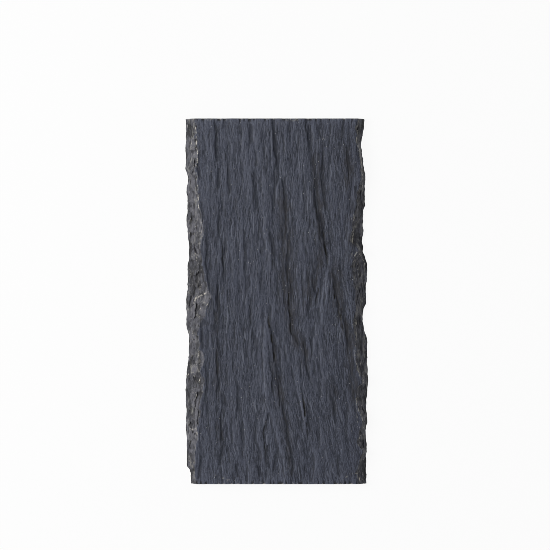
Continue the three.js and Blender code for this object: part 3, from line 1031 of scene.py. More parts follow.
@dataclass
class SlateBlank:
    """A closed box to be shaped, one unit each way, with many small faces on top and fewer below."""

    columns: int = 318
    rows: int = 240
    rings: int = 6
    bed_divisor: int = 3
    bed_size: float = 0.97

    def cut(self) -> Object:
        """Makes the blank from a fine grid, its drawn-down border and a coarser grid below.

        Returns:
            The blank: a box from -0.5 to 0.5 across and along, and from 0 to 1 high.
        """
        top = self.grid(self.columns, self.rows, height=1.0)
        bpy.ops.object.mode_set(mode="EDIT")
        self.pick_border()
        for _ in range(self.rings):
            down = {"value": (0, 0, -1 / self.rings)}
            bpy.ops.mesh.extrude_region_move(TRANSFORM_OT_translate=down)
        bpy.ops.object.mode_set(mode="OBJECT")
        bed = self.grid(self.columns // self.bed_divisor, self.rows // self.bed_divisor, height=0.0)
        bpy.ops.object.mode_set(mode="EDIT")
        bpy.ops.mesh.select_all(action="SELECT")
        bpy.ops.mesh.flip_normals()
        bpy.ops.transform.resize(value=(self.bed_size, self.bed_size, 1))
        self.pick_border()
        bpy.ops.mesh.subdivide(number_cuts=self.bed_divisor - 1, ngon=True)
        bpy.ops.object.mode_set(mode="OBJECT")
        look_only_at(top, bed)
        bpy.ops.object.join()
        bpy.ops.object.mode_set(mode="EDIT")
        self.pick_border()
        bpy.ops.mesh.bridge_edge_loops()
        bpy.ops.object.mode_set(mode="OBJECT")
        return top

    @staticmethod
    def grid(columns: int, rows: int, height: float) -> Object:
        """Adds a level grid of one unit at a height, with its place in its mesh.

        Args:
            columns: faces across.
            rows: faces along.
            height: its height.

        Returns:
            The new object.
        """
        bpy.ops.object.select_all(action="DESELECT")
        bpy.ops.mesh.primitive_grid_add(
            x_subdivisions=columns, y_subdivisions=rows, size=1, location=(0, 0, height)
        )
        bpy.ops.object.transform_apply(location=True, rotation=True, scale=True)
        return bpy.context.object

    @staticmethod
    def pick_border() -> None:
        """Selects the open edges of the mesh that is being edited."""
        bpy.ops.mesh.select_mode(type="EDGE")
        bpy.ops.mesh.select_all(action="DESELECT")
        bpy.ops.mesh.select_non_manifold()


@dataclass
class SlateSlab:
    """The whole stone: its shape, its finish and its place in the frame."""

    blank: SlateBlank = field(default_factory=SlateBlank)
    face: RivenFace = field(default_factory=RivenFace)
    left: FlakedEdge = field(
        default_factory=lambda: FlakedEdge(Side.LEFT, LEFT_EDGE, LEFT_BREAK, LEFT_FLAKES, 21)
    )
    right: FlakedEdge = field(
        default_factory=lambda: FlakedEdge(
            Side.RIGHT, RIGHT_EDGE, RIGHT_BREAK, RIGHT_FLAKES, 51, facet_size=(2.1, 10.0),
            facet_depth=0.7, chip_size=(1.1, 4.6), chip_depth=0.3, shell_depth=0.35,
            gloom_reach=2.3,
        )
    )
    band_columns: int = 30
    right_pallor: float = 0.8
    foot: float = 0.5
    bed_margin: float = 1.2
    lowest_top: float = 0.8
    fibre_height: float = 0.07
    splinter_height: float = 0.05
    crumb_height: float = 0.22
    full_tone: float = 3.0
    riven_crest: float = 0.16
    flaked_crest: float = 0.3
    # Where each vertex of the blank belongs, and how far down the wall it is in millimetres.
    zone: np.ndarray = field(init=False, repr=False)
    column: np.ndarray = field(init=False, repr=False)
    row: np.ndarray = field(init=False, repr=False)
    depth: np.ndarray = field(init=False, repr=False)
    # The grid of the top: its insets, stations and heights, the riven face alone, and the share
    # of each point that is flaked.
    top_x: np.ndarray = field(init=False, repr=False)
    top_y: np.ndarray = field(init=False, repr=False)
    top_z: np.ndarray = field(init=False, repr=False)
    riven_grid: np.ndarray = field(init=False, repr=False)
    flaked_top: np.ndarray = field(init=False, repr=False)

    def build(self) -> Object:
        """Makes the stone.

        Returns:
            The finished piece.
        """
        stone = self.blank.cut()
        stone.name = stone.data.name = "riven_slate"
        self.shape(stone)
        self.lay_grain_maps(stone)
        self.mask(stone)
        self.roughen(stone)
        self.record_relief(stone)
        look_only_at(stone)
        bpy.ops.object.shade_smooth_by_angle(angle=math.radians(55))
        return stone

    def shape(self, stone: Object) -> None:
        """Moves every vertex of the blank to its place on the slab.

        Args:
            stone: the blank.
        """
        mesh = stone.data
        blank = places(mesh)
        on_border = np.max(np.abs(blank[:, :2]), axis=1) > 0.4999
        self.zone = np.where(blank[:, 2] > 0.999, Zone.TOP.value, Zone.BED.value)
        self.zone[on_border & (blank[:, 2] < 0.999)] = Zone.WALL.value
        self.column = np.rint((blank[:, 0] + 0.5) * self.blank.columns).astype(int)
        self.row = np.rint((blank[:, 1] + 0.5) * self.blank.rows).astype(int)
        self.lay_top()
        x, y, z = (grid[self.row, self.column] for grid in (self.top_x, self.top_y, self.top_z))
        depth = 1 - blank[:, 2]
        self.depth = depth * z
        x, y, z = self.walls(blank, depth, x, y, z)
        x, y, z = self.bed(blank, x, y, z)
        place = np.column_stack([x - WIDTH / 2, y - LENGTH / 2, z]) * MM
        mesh.vertices.foreach_set("co", place.ravel())
        mesh.update()

    def lay_top(self) -> None:
        """Works out the grid of the top: the riven face and the two flaked bands beside it."""
        rows, columns, band = self.blank.rows, self.blank.columns, self.band_columns
        step = np.arange(rows + 1) / rows
        station = LENGTH * step
        near_end = np.array([0, 0.28, 1.1])
        station[:3], station[-3:] = near_end, LENGTH - near_end[::-1]
        left_rim, right_rim = self.left.rim_inset(station), WIDTH - self.right.rim_inset(station)
        left_break = self.left.break_inset(station)
        right_break = WIDTH - self.right.break_inset(station)
        inset = np.empty((rows + 1, columns + 1))
        share = np.linspace(0, 1, columns - 2 * band + 1)
        ramp = np.linspace(0, 1, band + 1)
        for row in range(rows + 1):
            middle = left_break[row] + (right_break[row] - left_break[row]) * share
            inset[row, band : columns - band + 1] = middle
            inset[row, : band + 1] = left_rim[row] + (left_break[row] - left_rim[row]) * ramp
            inset[row, -band - 1 :] = right_break[row] + (right_rim[row] - right_break[row]) * ramp
        along = np.repeat(station[:, None], columns + 1, axis=1)
        riven = self.face.height(along, inset)
        z = riven
        brow = self.blurred(riven, 8, 8)
        for edge, rim, brink in (
            (self.left, left_rim, band), (self.right, right_rim, columns - band)
        ):
            reach, top = edge.reach(rim[:, None], inset), brow[:, brink : brink + 1]
            z = np.minimum(z, edge.height(reach, along, inset, top))
        self.flaked_top = ramped(0.03, 0.22, riven - z)
        self.riven_grid = riven
        z -= self.face.end_chips(along, inset)
        self.top_x, self.top_y, self.top_z = inset, along, np.maximum(z, self.lowest_top)

    def walls(self, blank: np.ndarray, depth: np.ndarray, *place: np.ndarray) -> list[np.ndarray]:
        """Draws the walls down from the border of the top to the foot of the slab.

        Args:
            blank: the vertices of the blank.
            depth: how far down each one is, from 0 to 1.
            place: x, y and z of each one, so far those of the top above it.

        Returns:
            x, y and z of each vertex, in millimetres from the corner of the slab.
        """
        x, y, z = (axis.copy() for axis in place)
        wall = self.zone == Zone.WALL.value
        setback = self.foot * ramped(0.7, 1, depth)
        rough = 0.22 * Noise(81).at(y / 1.6, depth * 3) * np.sin(math.pi * np.clip(depth, 0, 1))
        for low, sign in ((blank[:, 0] < -0.4999, 1), (blank[:, 0] > 0.4999, -1)):
            edge = wall & low
            x[edge] += sign * (setback + np.abs(rough))[edge]
        for low, sign in ((blank[:, 1] < -0.4999, 1), (blank[:, 1] > 0.4999, -1)):
            edge = wall & low
            y[edge] += sign * 0.5 * setback[edge]
        z[wall] *= 1 - depth[wall]
        return [x, y, z]

    def bed(self, blank: np.ndarray, *place: np.ndarray) -> list[np.ndarray]:
        """Lays the underside: flat, with shallow spalls in it.

        Args:
            blank: the vertices of the blank.
            place: x, y and z of each one.

        Returns:
            x, y and z of each vertex, in millimetres from the corner of the slab.
        """
        x, y, z = (axis.copy() for axis in place)
        bed = self.zone == Zone.BED.value
        share = blank[bed, :2] / self.blank.bed_size
        margin = self.bed_margin
        station = margin + (share[:, 1] + 0.5) * (LENGTH - 2 * margin)
        left = eased(LEFT_EDGE, station) + self.foot + margin
        right = WIDTH - eased(RIGHT_EDGE, station) - self.foot - margin
        inset = left + (share[:, 0] + 0.5) * (right - left)
        height = np.zeros(len(inset))
        for middle, across, half_length, half_width, deepest in SPALLS:
            spread = ((station - middle) / half_length) ** 2 + ((inset - across) / half_width) ** 2
            ragged = np.clip(1 - spread - 0.16 * Noise(91).at(inset / 9, station / 16), 0, 1)
            height = np.maximum(height, deepest * np.sqrt(ragged))
        split = 0.3 * Noise(92).at(inset / 6, station / 44)
        split += 0.15 * Noise(93).at(inset / 2.6, station / 20)
        pits = np.clip(terraced(split + 1, 0.09, 0.4) - 1.02, 0, None)
        x[bed], y[bed], z[bed] = inset, station, height + pits * ramped(0.0, 0.3, height + 0.1)
        return [x, y, z]

    def lay_grain_maps(self, stone: Object) -> None:
        """Gives the stone a UV map for each main lean, u across the fibres and v along them.

        Args:
            stone: the stone.
        """
        mesh = stone.data
        x, y, _ = places(mesh).T / MM
        inset, station = x + WIDTH / 2, y + LENGTH / 2
        wall = self.zone == Zone.WALL.value
        side = wall & ((self.column == 0) | (self.column == self.blank.columns))
        end = wall & ~side
        inset[side] += (np.where(self.column == 0, -1.0, 1.0) * self.depth)[side]
        station[end] += (np.where(self.row == 0, -1.0, 1.0) * self.depth)[end]
        corner = np.empty(len(mesh.loops), dtype=np.int32)
        mesh.loops.foreach_get("vertex_index", corner)
        for name, lean in GRAIN_MAPS:
            grain_map = mesh.uv_layers.new(name=name)
            across = inset + lean * station
            uv = np.column_stack([across[corner] / 100, station[corner] / 500])
            grain_map.data.foreach_set("uv", uv.ravel())

    def mask(self, stone: Object) -> None:
        """Records how far each vertex belongs to the riven face, the flakes and the saw cuts.

        Args:
            stone: the stone.
        """
        columns = self.blank.columns
        place = np.minimum(self.column, columns - self.column)
        top, wall = (self.zone == zone.value for zone in (Zone.TOP, Zone.WALL))
        side = wall & ((self.column == 0) | (self.column == columns))
        broken = self.flaked_top[self.row, self.column]
        pallor = np.where(self.column > columns / 2, self.right_pallor, 1.0)
        flaked = (broken * top + side) * pallor
        riven = (1 - broken) * top
        sawn = (wall & ~side).astype(float)
        for name, values in (("riven", riven), ("flaked", flaked), ("sawn", sawn)):
            record(stone.data, name, values)
        inner = top * ramped(0, 3, place)
        riven, inner = np.maximum(riven, 0.5 * inner), inner * broken
        for name, values in (("riven_relief", riven), ("flaked_relief", inner)):
            group = stone.vertex_groups.new(name=name)
            levels = np.round(values * 4) / 4
            for level in (0.25, 0.5, 0.75, 1.0):
                group.add(np.flatnonzero(levels == level).tolist(), level, "REPLACE")

    def roughen(self, stone: Object) -> None:
        """Raises the fibres of the riven face and the crumbs of the flaked bands.

        Args:
            stone: the stone.
        """
        fibres = bpy.data.textures.new("slate_fibres", "CLOUDS")
        fibres.noise_basis, fibres.noise_depth = "ORIGINAL_PERLIN", 2
        fibres.noise_scale, fibres.contrast = 0.034, 1.3
        splinters = bpy.data.textures.new("slate_splinters", "MUSGRAVE")
        splinters.musgrave_type, splinters.noise_basis = "RIDGED_MULTIFRACTAL", "ORIGINAL_PERLIN"
        splinters.noise_scale, splinters.octaves = 0.11, 2
        crumbs = bpy.data.textures.new("slate_crumbs", "VORONOI")
        crumbs.noise_scale, crumbs.noise_intensity = 0.0017, 1.0
        for texture, group, coordinates, height in (
            (fibres, "riven_relief", "UV", self.fibre_height),
            (splinters, "riven_relief", "UV", self.splinter_height),
            (crumbs, "flaked_relief", "LOCAL", self.crumb_height),
        ):
            relief = stone.modifiers.new(texture.name, "DISPLACE")
            relief.texture, relief.texture_coords = texture, coordinates
            relief.vertex_group, relief.direction = group, "Z"
            relief.strength, relief.mid_level = height * MM, 0.5
            if coordinates == "UV":
                relief.uv_layer = "grain"
            look_only_at(stone)
            bpy.ops.object.modifier_apply(modifier=relief.name)

    def record_relief(self, stone: Object) -> None:
        """Records what the finish needs to know of each vertex of the top.

        Args:
            stone: the stone.
        """
        mesh = stone.data
        height = places(mesh)[:, 2] / MM
        top = self.zone == Zone.TOP.value
        grid = np.zeros((self.blank.rows + 1, self.blank.columns + 1))
        grid[self.row[top], self.column[top]] = height[top]
        along = self.top_y
        crack = self.face.crack_depth(along, self.top_x, widen=1.5)
        broken = self.flaked_top
        riven = self.riven_grid + (grid - self.top_z) * (1 - broken)
        # height over its local mean: the finish paints shade in the hollows and highlight on the crests
        # from it, and on the flakes places the wear and bruises by it
        crest = (riven - self.blurred(riven, 2, 5)) / self.riven_crest * (1 - broken)
        crest += (grid - self.blurred(grid, 2, 3)) / self.flaked_crest * broken
        # the tone of the folds, painted into the colour as shade and highlight
        tone = self.face.folds(along, self.top_x)[1] / self.full_tone
        on_right = self.top_x > WIDTH / 2
        marks = zip(*(edge.facet_marks(along, self.top_x) for edge in (self.left, self.right)))
        facet, arris = (np.where(on_right, right, left) for left, right in marks)
        brink = 4 * broken * (1 - broken)
        arris = np.where(brink > 0.4, brink, arris * broken)
        # painted shade under the overhanging chips of each rim
        gloom = np.zeros(along.shape)
        for edge, rim in ((self.left, self.top_x[:, :1]), (self.right, self.top_x[:, -1:])):
            gloom += edge.gloom(along, edge.reach(rim, self.top_x))
        # crest, tone, shade and gloom feed painted shade and painted highlight in the finish; shade is
        # partly the stone's browner layers too
        for name, values in (
            ("crest", crest), ("tone", tone), ("crack", crack), ("facet", facet), ("arris", arris),
            ("shade", self.face.shades(along, self.top_x)),
            ("pale", self.face.pale_marks(along, self.top_x)), ("gloom", gloom),
            ("lean", self.face.grain.lean(along, self.top_x)),
        ):
            spread = np.zeros(len(mesh.vertices))
            spread[top] = np.clip(values, -1.5, 1.5)[self.row[top], self.column[top]]
            record(mesh, name, spread)

    @staticmethod
    def blurred(grid: np.ndarray, rows: int, columns: int) -> np.ndarray:
        """Mean of a grid over a window round each of its points.

        Args:
            grid: the grid.
            rows: reach of the window along the grain, in rows.
            columns: reach of the window across the grain, in columns.

        Returns:
            A grid of the same shape.
        """
        for axis, reach in ((0, rows), (1, columns)):
            pad = [(0, 0), (0, 0)]
            pad[axis] = (reach + 1, reach)
            total = np.cumsum(np.pad(grid, pad, mode="edge"), axis=axis)
            size = grid.shape[axis]
            late = np.take(total, np.arange(2 * reach + 1, 2 * reach + 1 + size), axis=axis)
            early = np.take(total, np.arange(size), axis=axis)
            grid = (late - early) / (2 * reach + 1)
        return grid


# Finishes


@dataclass
class Bench:
    """Adds nodes to one material."""

    material: Material

    @classmethod
    def start(cls, name: str) -> "Bench":
        """Makes an empty material with nodes.

        Args:
            name: the material's name.

        Returns:
            Its bench.
        """
        material = bpy.data.materials.new(name)
        material.use_nodes = True
        material.node_tree.nodes.clear()
        return cls(material)

    def add(self, kind: str, **settings: object) -> Node:
        """Adds a node.

        Args:
            kind: the node's type.
            settings: its properties.

        Returns:
            The node.
        """
        node = self.material.node_tree.nodes.new(kind)
        for name, value in settings.items():
            setattr(node, name, value)
        return node

    def feed(self, socket: NodeSocket, value: object) -> None:
        """Links a socket to an output, or sets its value.

        Args:
            socket: the input.
            value: the output or the value.
        """
        if isinstance(value, NodeSocket):
            self.material.node_tree.links.new(value, socket)
        else:
            socket.default_value = value

    def number(self, name: str) -> NodeSocket:
        """A number stored on the piece's vertices."""
        return self.add("ShaderNodeAttribute", attribute_name=name).outputs["Fac"]

    def vector(self, operation: str, first: NodeSocket, second: Scale) -> NodeSocket:
        """One step of arithmetic on a vector.

        Args:
            operation: what is done.
            first: the vector.
            second: the fixed vector that it is done with.

        Returns:
            The new vector.
        """
        node = self.add("ShaderNodeVectorMath", operation=operation)
        self.feed(node.inputs[0], first)
        node.inputs[1].default_value = second
        return node.outputs["Vector"]

    def scaled(self, vector: NodeSocket, scale: Scale) -> NodeSocket:
        """A vector multiplied by another, part by part."""
        return self.vector("MULTIPLY", vector, scale)

    def noise(
        self, vector: NodeSocket, detail: float = 2, rough: float = 0.5, bend: float = 0
    ) -> NodeSocket:
        """Noise from 0 to 1 with cells one unit wide.

        Args:
            vector: where to read it.
            detail: octaves.
            rough: weight of the finer octaves.
            bend: distortion.

        Returns:
            The noise.
        """
        node = self.add("ShaderNodeTexNoise")
        self.feed(node.inputs["Vector"], vector)
        settings = {"Scale": 1, "Detail": detail, "Roughness": rough, "Distortion": bend}
        for name, value in settings.items():
            node.inputs[name].default_value = value
        return node.outputs["Fac"]

    def scatter(self, vector: NodeSocket, output: str, feature: str = "F1") -> NodeSocket:
        """Reads a random scatter of points, one in each unit, with a cell round each.

        Args:
            vector: where to read it.
            output: which output to take.
            feature: what the distance is measured to.

        Returns:
            The output.
        """
        node = self.add("ShaderNodeTexVoronoi", feature=feature)
        self.feed(node.inputs["Vector"], vector)
        node.inputs["Scale"].default_value = 1
        return node.outputs[output]

    def slivers(self, vector: NodeSocket) -> NodeSocket:
        """A random number for each cell of the scatter.

        Args:
            vector: where to read it.

        Returns:
            The number, from 0 to 1.
        """
        parts = self.add("ShaderNodeSeparateColor")
        self.feed(parts.inputs["Color"], self.scatter(vector, "Color"))
        return parts.outputs["Red"]

    def ramp(self, value: NodeSocket, *stops: tuple[float, Colour]) -> NodeSocket:
        """A colour for each value.

        Args:
            value: the number to colour.
            stops: places from 0 to 1 with their colours.

        Returns:
            The colour.
        """
        node = self.add("ShaderNodeValToRGB")
        self.feed(node.inputs["Fac"], value)
        points = node.color_ramp.elements
        while len(points) < len(stops):
            points.new(0.5)
        for point, (place, _) in zip(points, sorted(stops)):
            point.position = place
        for point, (_, colour) in zip(points, sorted(stops)):
            point.color = (*colour, 1)
        return node.outputs["Color"]

    def between(
        self, value: NodeSocket, low: float, high: float, to_low: float = 0, to_high: float = 1
    ) -> NodeSocket:
        """Maps low to high smoothly onto another range.

        Args:
            value: the number to map.
            low: start of its range.
            high: end of its range.
            to_low: result at the start and before.
            to_high: result at the end and after.

        Returns:
            The mapped number.
        """
        node = self.add("ShaderNodeMapRange", interpolation_type="SMOOTHSTEP")
        self.feed(node.inputs["Value"], value)
        limits = {"From Min": low, "From Max": high, "To Min": to_low, "To Max": to_high}
        for name, limit in limits.items():
            node.inputs[name].default_value = limit
        return node.outputs["Result"]

    def reckon(self, operation: str, first: object, second: object) -> NodeSocket:
        """One step of arithmetic.

        Args:
            operation: what is done.
            first: the first number or output.
            second: the second.

        Returns:
            The result.
        """
        node = self.add("ShaderNodeMath", operation=operation)
        self.feed(node.inputs[0], first)
        self.feed(node.inputs[1], second)
        return node.outputs["Value"]

    def times(self, first: object, second: object) -> NodeSocket:
        """The product of two numbers."""
        return self.reckon("MULTIPLY", first, second)

    def total(self, *terms: tuple[NodeSocket, float]) -> NodeSocket:
        """The sum of some numbers, each with its weight.

        Args:
            terms: the numbers and their weights.

        Returns:
            The sum.
        """
        whole: object = 0.0
        for value, weight in terms:
            whole = self.reckon("ADD", whole, self.times(value, weight))
        return whole

    def mix(self, share: object, first: object, second: object) -> NodeSocket:
        """Mixes two colours.

        Args:
            share: weight of the second.
            first: the first colour.
            second: the second colour.

        Returns:
            The colour.
        """
        node = self.add("ShaderNodeMix", data_type="RGBA", clamp_factor=True)
        for place, value in ((0, share), (6, first), (7, second)):
            self.feed(node.inputs[place], (*value, 1) if isinstance(value, tuple) else value)
        return node.outputs[2]

    def finish(self, shader: Node) -> Material:
        """Ends the material in its surface.

        Args:
            shader: the shader of the surface.

        Returns:
            The finished material.
        """
        out = self.add("ShaderNodeOutputMaterial")
        self.feed(out.inputs["Surface"], shader.outputs["BSDF"])
        return self.material


@dataclass(frozen=True)
class SlateFinish:
    """Blue-grey slate: dark and streaked along the grain where riven, paler where flaked."""

    name: str = "slate"
    dark: Colour = (0.0078, 0.0100, 0.0172)
    middle: Colour = (0.036, 0.041, 0.061)
    light: Colour = (0.068, 0.0755, 0.1045)
    haze: Colour = (0.044, 0.049, 0.072)
    # painted shade along the dark folds
    painted_fold_shade: Colour = (0.0142, 0.0165, 0.024)
    rust: Colour = (0.0205, 0.0183, 0.0195)
    pale_blue: Colour = (0.11, 0.12, 0.155)
    open_crack: Colour = (0.010, 0.0095, 0.009)
    speck: Colour = (0.23, 0.23, 0.235)
    # painted shadow: under the rim's chips and in the splits between flakes
    painted_shadow_black: Colour = (0.006, 0.0062, 0.0075)
    flake_dark: Colour = (0.018, 0.018, 0.021)
    flake_middle: Colour = (0.0595, 0.0605, 0.073)
    flake_light: Colour = (0.101, 0.1, 0.116)
    fleck: Colour = (0.41, 0.385, 0.345)
    worn_arris: Colour = (0.21, 0.205, 0.195)
    sawn: Colour = (0.07, 0.073, 0.082)
    # Cells of the patterns that follow the grain, in each unit of its maps: across, along.
    streaks: Scale = (48, 45, 1)
    fibres: Scale = (135, 125, 1)
    leaves: Scale = (62, 50, 1)
    dashes: Scale = (118, 60, 1)
    sheen: Scale = (40, 50, 1)
    fine_relief: Scale = (100, 90, 1)
    map_edges: Scale = (25, 25, 1)
    # Cells of the other patterns, in each metre.
    grit: Scale = (1250, 900, 1250)
    clouds: Scale = (38, 20, 1)
    specks: Scale = (210, 190, 210)
    mark_dots: Scale = (620, 470, 620)
    flakes: Scale = (430, 190, 430)
    flake_clouds: Scale = (700, 240, 700)
    wear: Scale = (240, 110, 240)
    bruises: Scale = (260, 150, 260)
    bruise_dots: Scale = (1100, 900, 1100)
    saw_lines: Scale = (60, 60, 1900)
    crumbs: Scale = (900, 900, 900)
    bump_height: float = 0.6 * MM

    def make(self) -> Material:
        """Builds the material.

        Returns:
            The material.
        """
        bench = Bench.start(self.name)
        grain = self.grain_place(bench)
        place = bench.add("ShaderNodeTexCoord").outputs["Object"]
        flaked = bench.number("flaked")
        riven_colour = self.riven_colour(bench, grain, place)
        colour = bench.mix(flaked, riven_colour, self.flaked_colour(bench, place))
        dots = bench.noise(bench.scaled(place, self.mark_dots), detail=2, rough=0.6)
        pale = bench.between(bench.number("pale"), 0.15, 0.8)
        pale = bench.times(pale, bench.between(dots, 0.4, 0.6))
        colour = bench.mix(pale, colour, bench.mix(flaked, self.worn_arris, self.fleck))
        # painted shade under the overhanging chips of the rim
        gloom = bench.between(bench.number("gloom"), 0.15, 0.7, 0, 0.9)
        colour = bench.mix(gloom, colour, self.painted_shadow_black)
        colour = bench.mix(bench.number("sawn"), colour, self.sawn_colour(bench, place))
        shader = bench.add("ShaderNodeBsdfPrincipled")
        bench.feed(shader.inputs["Base Color"], colour)
        bench.feed(shader.inputs["Roughness"], self.roughness(bench, grain))
        shader.inputs["Specular IOR Level"].default_value = 0.3
        bench.feed(shader.inputs["Normal"], self.fine_bump(bench, grain, place))
        return bench.finish(shader)

    def grain_place(self, bench: Bench) -> NodeSocket:
        """Place on the grain, read from whichever map has the nearest lean.

        Args:
            bench: the material's bench.

        Returns:
            The place: across the fibres, along them.
        """
        maps = [bench.add("ShaderNodeUVMap", uv_map=name).outputs["UV"] for name, _ in GRAIN_MAPS]
        ragged = bench.noise(bench.scaled(maps[0], self.map_edges))
        lean = bench.total((bench.number("lean"), 1), (ragged, 0.08))
        place = maps[0]
        for (_, low), (_, high), grain_map in zip(GRAIN_MAPS, GRAIN_MAPS[1:], maps[1:]):
            choice = bench.add("ShaderNodeMix", data_type="VECTOR")
            bench.feed(choice.inputs[0], bench.reckon("GREATER_THAN", lean, (low + high) / 2 + 0.04))
            bench.feed(choice.inputs[4], place)
            bench.feed(choice.inputs[5], grain_map)
            place = choice.outputs[1]
        return place

    def riven_colour(self, bench: Bench, grain: NodeSocket, place: NodeSocket) -> NodeSocket:
        """Colour of the riven face.

        Args:
            bench: the material's bench.
            grain: the grain map.
            place: object coordinates.

        Returns:
            The colour.
        """
        streak = bench.noise(bench.scaled(grain, self.streaks), detail=2, rough=0.6)
        # the difference between a fibre and its neighbour, dark as often as light
        fibres = bench.scaled(grain, self.fibres)
        beside = bench.vector("ADD", fibres, (1.05, 0, 0))
        apart = bench.reckon("SUBTRACT", bench.slivers(fibres), bench.slivers(beside))
        leaves = bench.slivers(bench.scaled(grain, self.leaves))
        grit = bench.slivers(bench.scaled(place, self.grit))
        patchy = bench.between(bench.total((streak, 1), (apart, 0.12)), 0.35, 0.68, 0.15, 1.5)
        tone = bench.times(bench.number("tone"), patchy)
        # the broad troughs and backs with the folds shift the whole ramp: painted shade and painted
        # light, the troughs partly the stone's browner layers too
        shade = bench.total((bench.number("shade"), 1), (tone, 0.7))
        level = bench.total(
            (apart, 0.41), (leaves, 0.1), (streak, 0.38), (grit, 0.32), (shade, 0.23)
        )
        colour = bench.ramp(level, (0.07, self.dark), (0.4, self.middle), (0.73, self.light))
        dashes = bench.slivers(bench.scaled(grain, self.dashes))
        deep = bench.total((dashes, 1), (shade, -0.16))
        cloud = bench.noise(bench.scaled(place, self.clouds), detail=2)
        crest = bench.number("crest")
        brown = bench.times(bench.number("shade"), bench.between(streak, 0.65, 0.35, 0.4, 1.6))
        specks = bench.scatter(bench.scaled(place, self.specks), "Distance")
        # each layer: what it follows, from and to where, its strength there and its colour
        for value, low, high, strength, layer in (
            (deep, 0.91, 0.97, 0.85, self.dark),
            (dashes, 0.045, 0.01, 0.75, self.pale_blue),
            (cloud, 0.35, 0.7, 0.3, self.haze),
            # painted shade in the hollows and painted highlight on the crests
            (crest, 0, -1, 0.65, self.dark),
            (crest, 0.1, 1.3, 0.4, self.light),
            # painted shade along the dark folds
            (tone, -0.1, -1.1, 0.42, self.painted_fold_shade),
            (brown, -0.1, -0.9, 0.48, self.rust),
            # painted highlight along the light folds
            (tone, 0.1, 1.1, 0.5, self.light),
            (bench.number("crack"), 0.1, 0.7, 0.92, self.open_crack),
            (specks, 0.09, 0.03, 1, self.speck),
        ):
            colour = bench.mix(bench.between(value, low, high, 0, strength), colour, layer)
        return colour

    def flaked_colour(self, bench: Bench, place: NodeSocket) -> NodeSocket:
        """Colour of the flaked bands.

        Args:
            bench: the material's bench.
            place: object coordinates.

        Returns:
            The colour.
        """
        cloud = bench.noise(bench.scaled(place, self.flake_clouds), detail=2, rough=0.6)
        flakes = bench.scaled(place, self.flakes)
        level = bench.total((bench.number("facet"), 0.26), (cloud, 0.23), (bench.slivers(flakes), 0.25))
        colour = bench.ramp(
            level, (0.03, self.flake_dark), (0.24, self.flake_middle), (0.46, self.flake_light)
        )
        crest, line = bench.number("crest"), bench.number("arris")
        # painted shade in the hollows of the flakes
        colour = bench.mix(bench.between(crest, -0.2, -1.4, 0, 0.8), colour, self.flake_dark)
        # painted shadow in the splits between the flakes
        colour = bench.mix(bench.between(line, -0.2, -0.9, 0, 0.85), colour, self.painted_shadow_black)
        border = bench.scatter(flakes, "Distance", "DISTANCE_TO_EDGE")
        edge = bench.times(bench.between(border, 0.1, 0.02, 0, 0.6), bench.between(crest, -0.3, 0.6))
        worn = bench.noise(bench.scaled(place, self.wear), detail=2)
        arris = bench.reckon("MAXIMUM", bench.between(line, 0, 1), edge)
        arris = bench.times(arris, bench.between(worn, 0.42, 0.6, 0, 0.8))
        colour = bench.mix(arris, colour, self.worn_arris)
        patch = bench.noise(bench.scaled(place, self.bruises), detail=1)
        dots = bench.noise(bench.scaled(place, self.bruise_dots), detail=1)
        bruise = bench.times(bench.between(patch, 0.56, 0.64), bench.between(dots, 0.5, 0.62))
        bruise = bench.times(bruise, bench.between(crest, 0.3, 1.3, 0, 0.9))
        return bench.mix(bruise, colour, self.fleck)

    def sawn_colour(self, bench: Bench, place: NodeSocket) -> NodeSocket:
        """Colour of the sawn ends, with the fine lines of the saw."""
        lines = bench.noise(bench.scaled(place, self.saw_lines), detail=3, rough=0.6)
        return bench.ramp(lines, (0.3, self.dark), (0.7, self.sawn))

    def roughness(self, bench: Bench, grain: NodeSocket) -> NodeSocket:
        """Roughness, which changes along the grain."""
        sheen = bench.noise(bench.scaled(grain, self.sheen), detail=3)
        return bench.between(sheen, 0.3, 0.7, 0.48, 0.68)

    def fine_bump(self, bench: Bench, grain: NodeSocket, place: NodeSocket) -> NodeSocket:
        """Relief finer than the mesh.

        Args:
            bench: the material's bench.
            grain: the grain map.
            place: object coordinates.

        Returns:
            The normal.
        """
        fine = bench.noise(bench.scaled(grain, self.fine_relief), detail=4, rough=0.75)
        crumb = bench.noise(bench.scaled(place, self.crumbs), detail=5, rough=0.7)
        bump = bench.add("ShaderNodeBump")
        bench.feed(bump.inputs["Height"], bench.mix(bench.number("flaked"), fine, crumb))
        bump.inputs["Strength"].default_value = 1.0
        bump.inputs["Distance"].default_value = self.bump_height
        return bump.outputs["Normal"]


@dataclass(frozen=True)
class FloorFinish:
    """A pale matt sheet that glows a little, so that it stays even under the soft lights."""

    name: str = "pale_sheet"
    glow: float = 0.915
    albedo: float = 0.06

    def make(self) -> Material:
        """Builds the material.

        Returns:
            The material.
        """
        bench = Bench.start(self.name)
        shader = bench.add("ShaderNodeBsdfPrincipled")
        shader.inputs["Base Color"].default_value = (self.albedo,) * 3 + (1,)
        shader.inputs["Roughness"].default_value = 1.0
        shader.inputs["Specular IOR Level"].default_value = 0.0
        shader.inputs["Emission Color"].default_value = (1, 1, 1, 1)
        shader.inputs["Emission Strength"].default_value = self.glow
        return bench.finish(shader)


# The studio


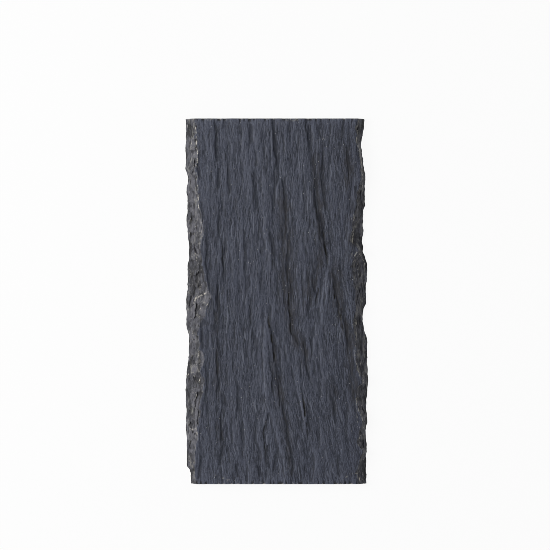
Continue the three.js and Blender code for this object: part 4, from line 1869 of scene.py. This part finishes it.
@dataclass
class Studio:
    """The floor, the lights and the camera."""

    floor_size: float = 6.0
    frame_width: float = 0.4508
    camera_height: float = 2.0
    aim: tuple[float, float] = (-0.00135, 0.0216)
    sky: float = 0.42
    key_place: tuple[float, float, float] = (-1.5, 0.25, 1.15)
    key_size: float = 0.9
    key_power: float = 34.0
    top_place: tuple[float, float, float] = (0.1, 0.1, 2.4)
    top_size: float = 1.2
    top_power: float = 4.0

    def lay_floor(self) -> Object:
        """Lays the floor.

        Returns:
            The floor.
        """
        bpy.ops.object.select_all(action="DESELECT")
        bpy.ops.mesh.primitive_plane_add(size=self.floor_size, location=(0, 0, 0))
        floor = bpy.context.object
        floor.name = floor.data.name = "pale_floor"
        floor.data.materials.append(FloorFinish().make())
        return floor

    def hang_light(self, name: str, place: Sequence[float], size: float, power: float) -> Object:
        """Hangs a square soft light that faces the slab.

        Args:
            name: its name.
            place: where it hangs, in metres.
            size: its side, in metres.
            power: its power, in watts.

        Returns:
            The light.
        """
        bpy.ops.object.light_add(type="AREA", location=place)
        light = bpy.context.object
        light.name = light.data.name = name
        light.data.shape, light.data.size = "SQUARE", size
        light.data.energy = power
        light.rotation_euler = (-light.location).to_track_quat("-Z", "Y").to_euler()
        return light

    def light(self) -> None:
        """Lights the slab: a soft key from the left, a weak top light and an even sky."""
        self.hang_light("key_light", self.key_place, self.key_size, self.key_power)
        self.hang_light("top_light", self.top_place, self.top_size, self.top_power)
        world = bpy.data.worlds.new("even_sky")
        world.use_nodes = True
        sky = world.node_tree.nodes["Background"]
        sky.inputs["Color"].default_value = (1, 1, 1, 1)
        sky.inputs["Strength"].default_value = self.sky
        bpy.context.scene.world = world
        bpy.context.scene.cycles.filter_width = 0.8
        bpy.context.scene.view_settings.view_transform = "Standard"

    def place_camera(self) -> Object:
        """Puts the camera straight above the slab.

        Returns:
            The camera.
        """
        bpy.ops.object.camera_add(location=(*self.aim, self.camera_height), rotation=(0, 0, 0))
        camera = bpy.context.object
        camera.name = camera.data.name = "camera"
        reach = self.camera_height - THICKNESS * MM
        camera.data.lens = camera.data.sensor_width * reach / self.frame_width
        camera.data.clip_start, camera.data.clip_end = 0.05, 20
        bpy.context.scene.camera = camera
        return camera


def main() -> None:
    """Builds the slab and its studio, and reports each piece."""
    logging.basicConfig(level=logging.INFO, format="%(name)s: %(message)s")
    studio = Studio()
    studio.place_camera()
    studio.lay_floor()
    studio.light()
    stone = SlateSlab().build()
    stone.data.materials.clear()
    stone.data.materials.append(SlateFinish().make())
    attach(stone, "root")
    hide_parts("slate_slab")
    log.info("%s: %d vertices, %d faces", stone.name, len(stone.data.vertices), len(stone.data.polygons))


if __name__ == "__main__":
    main()
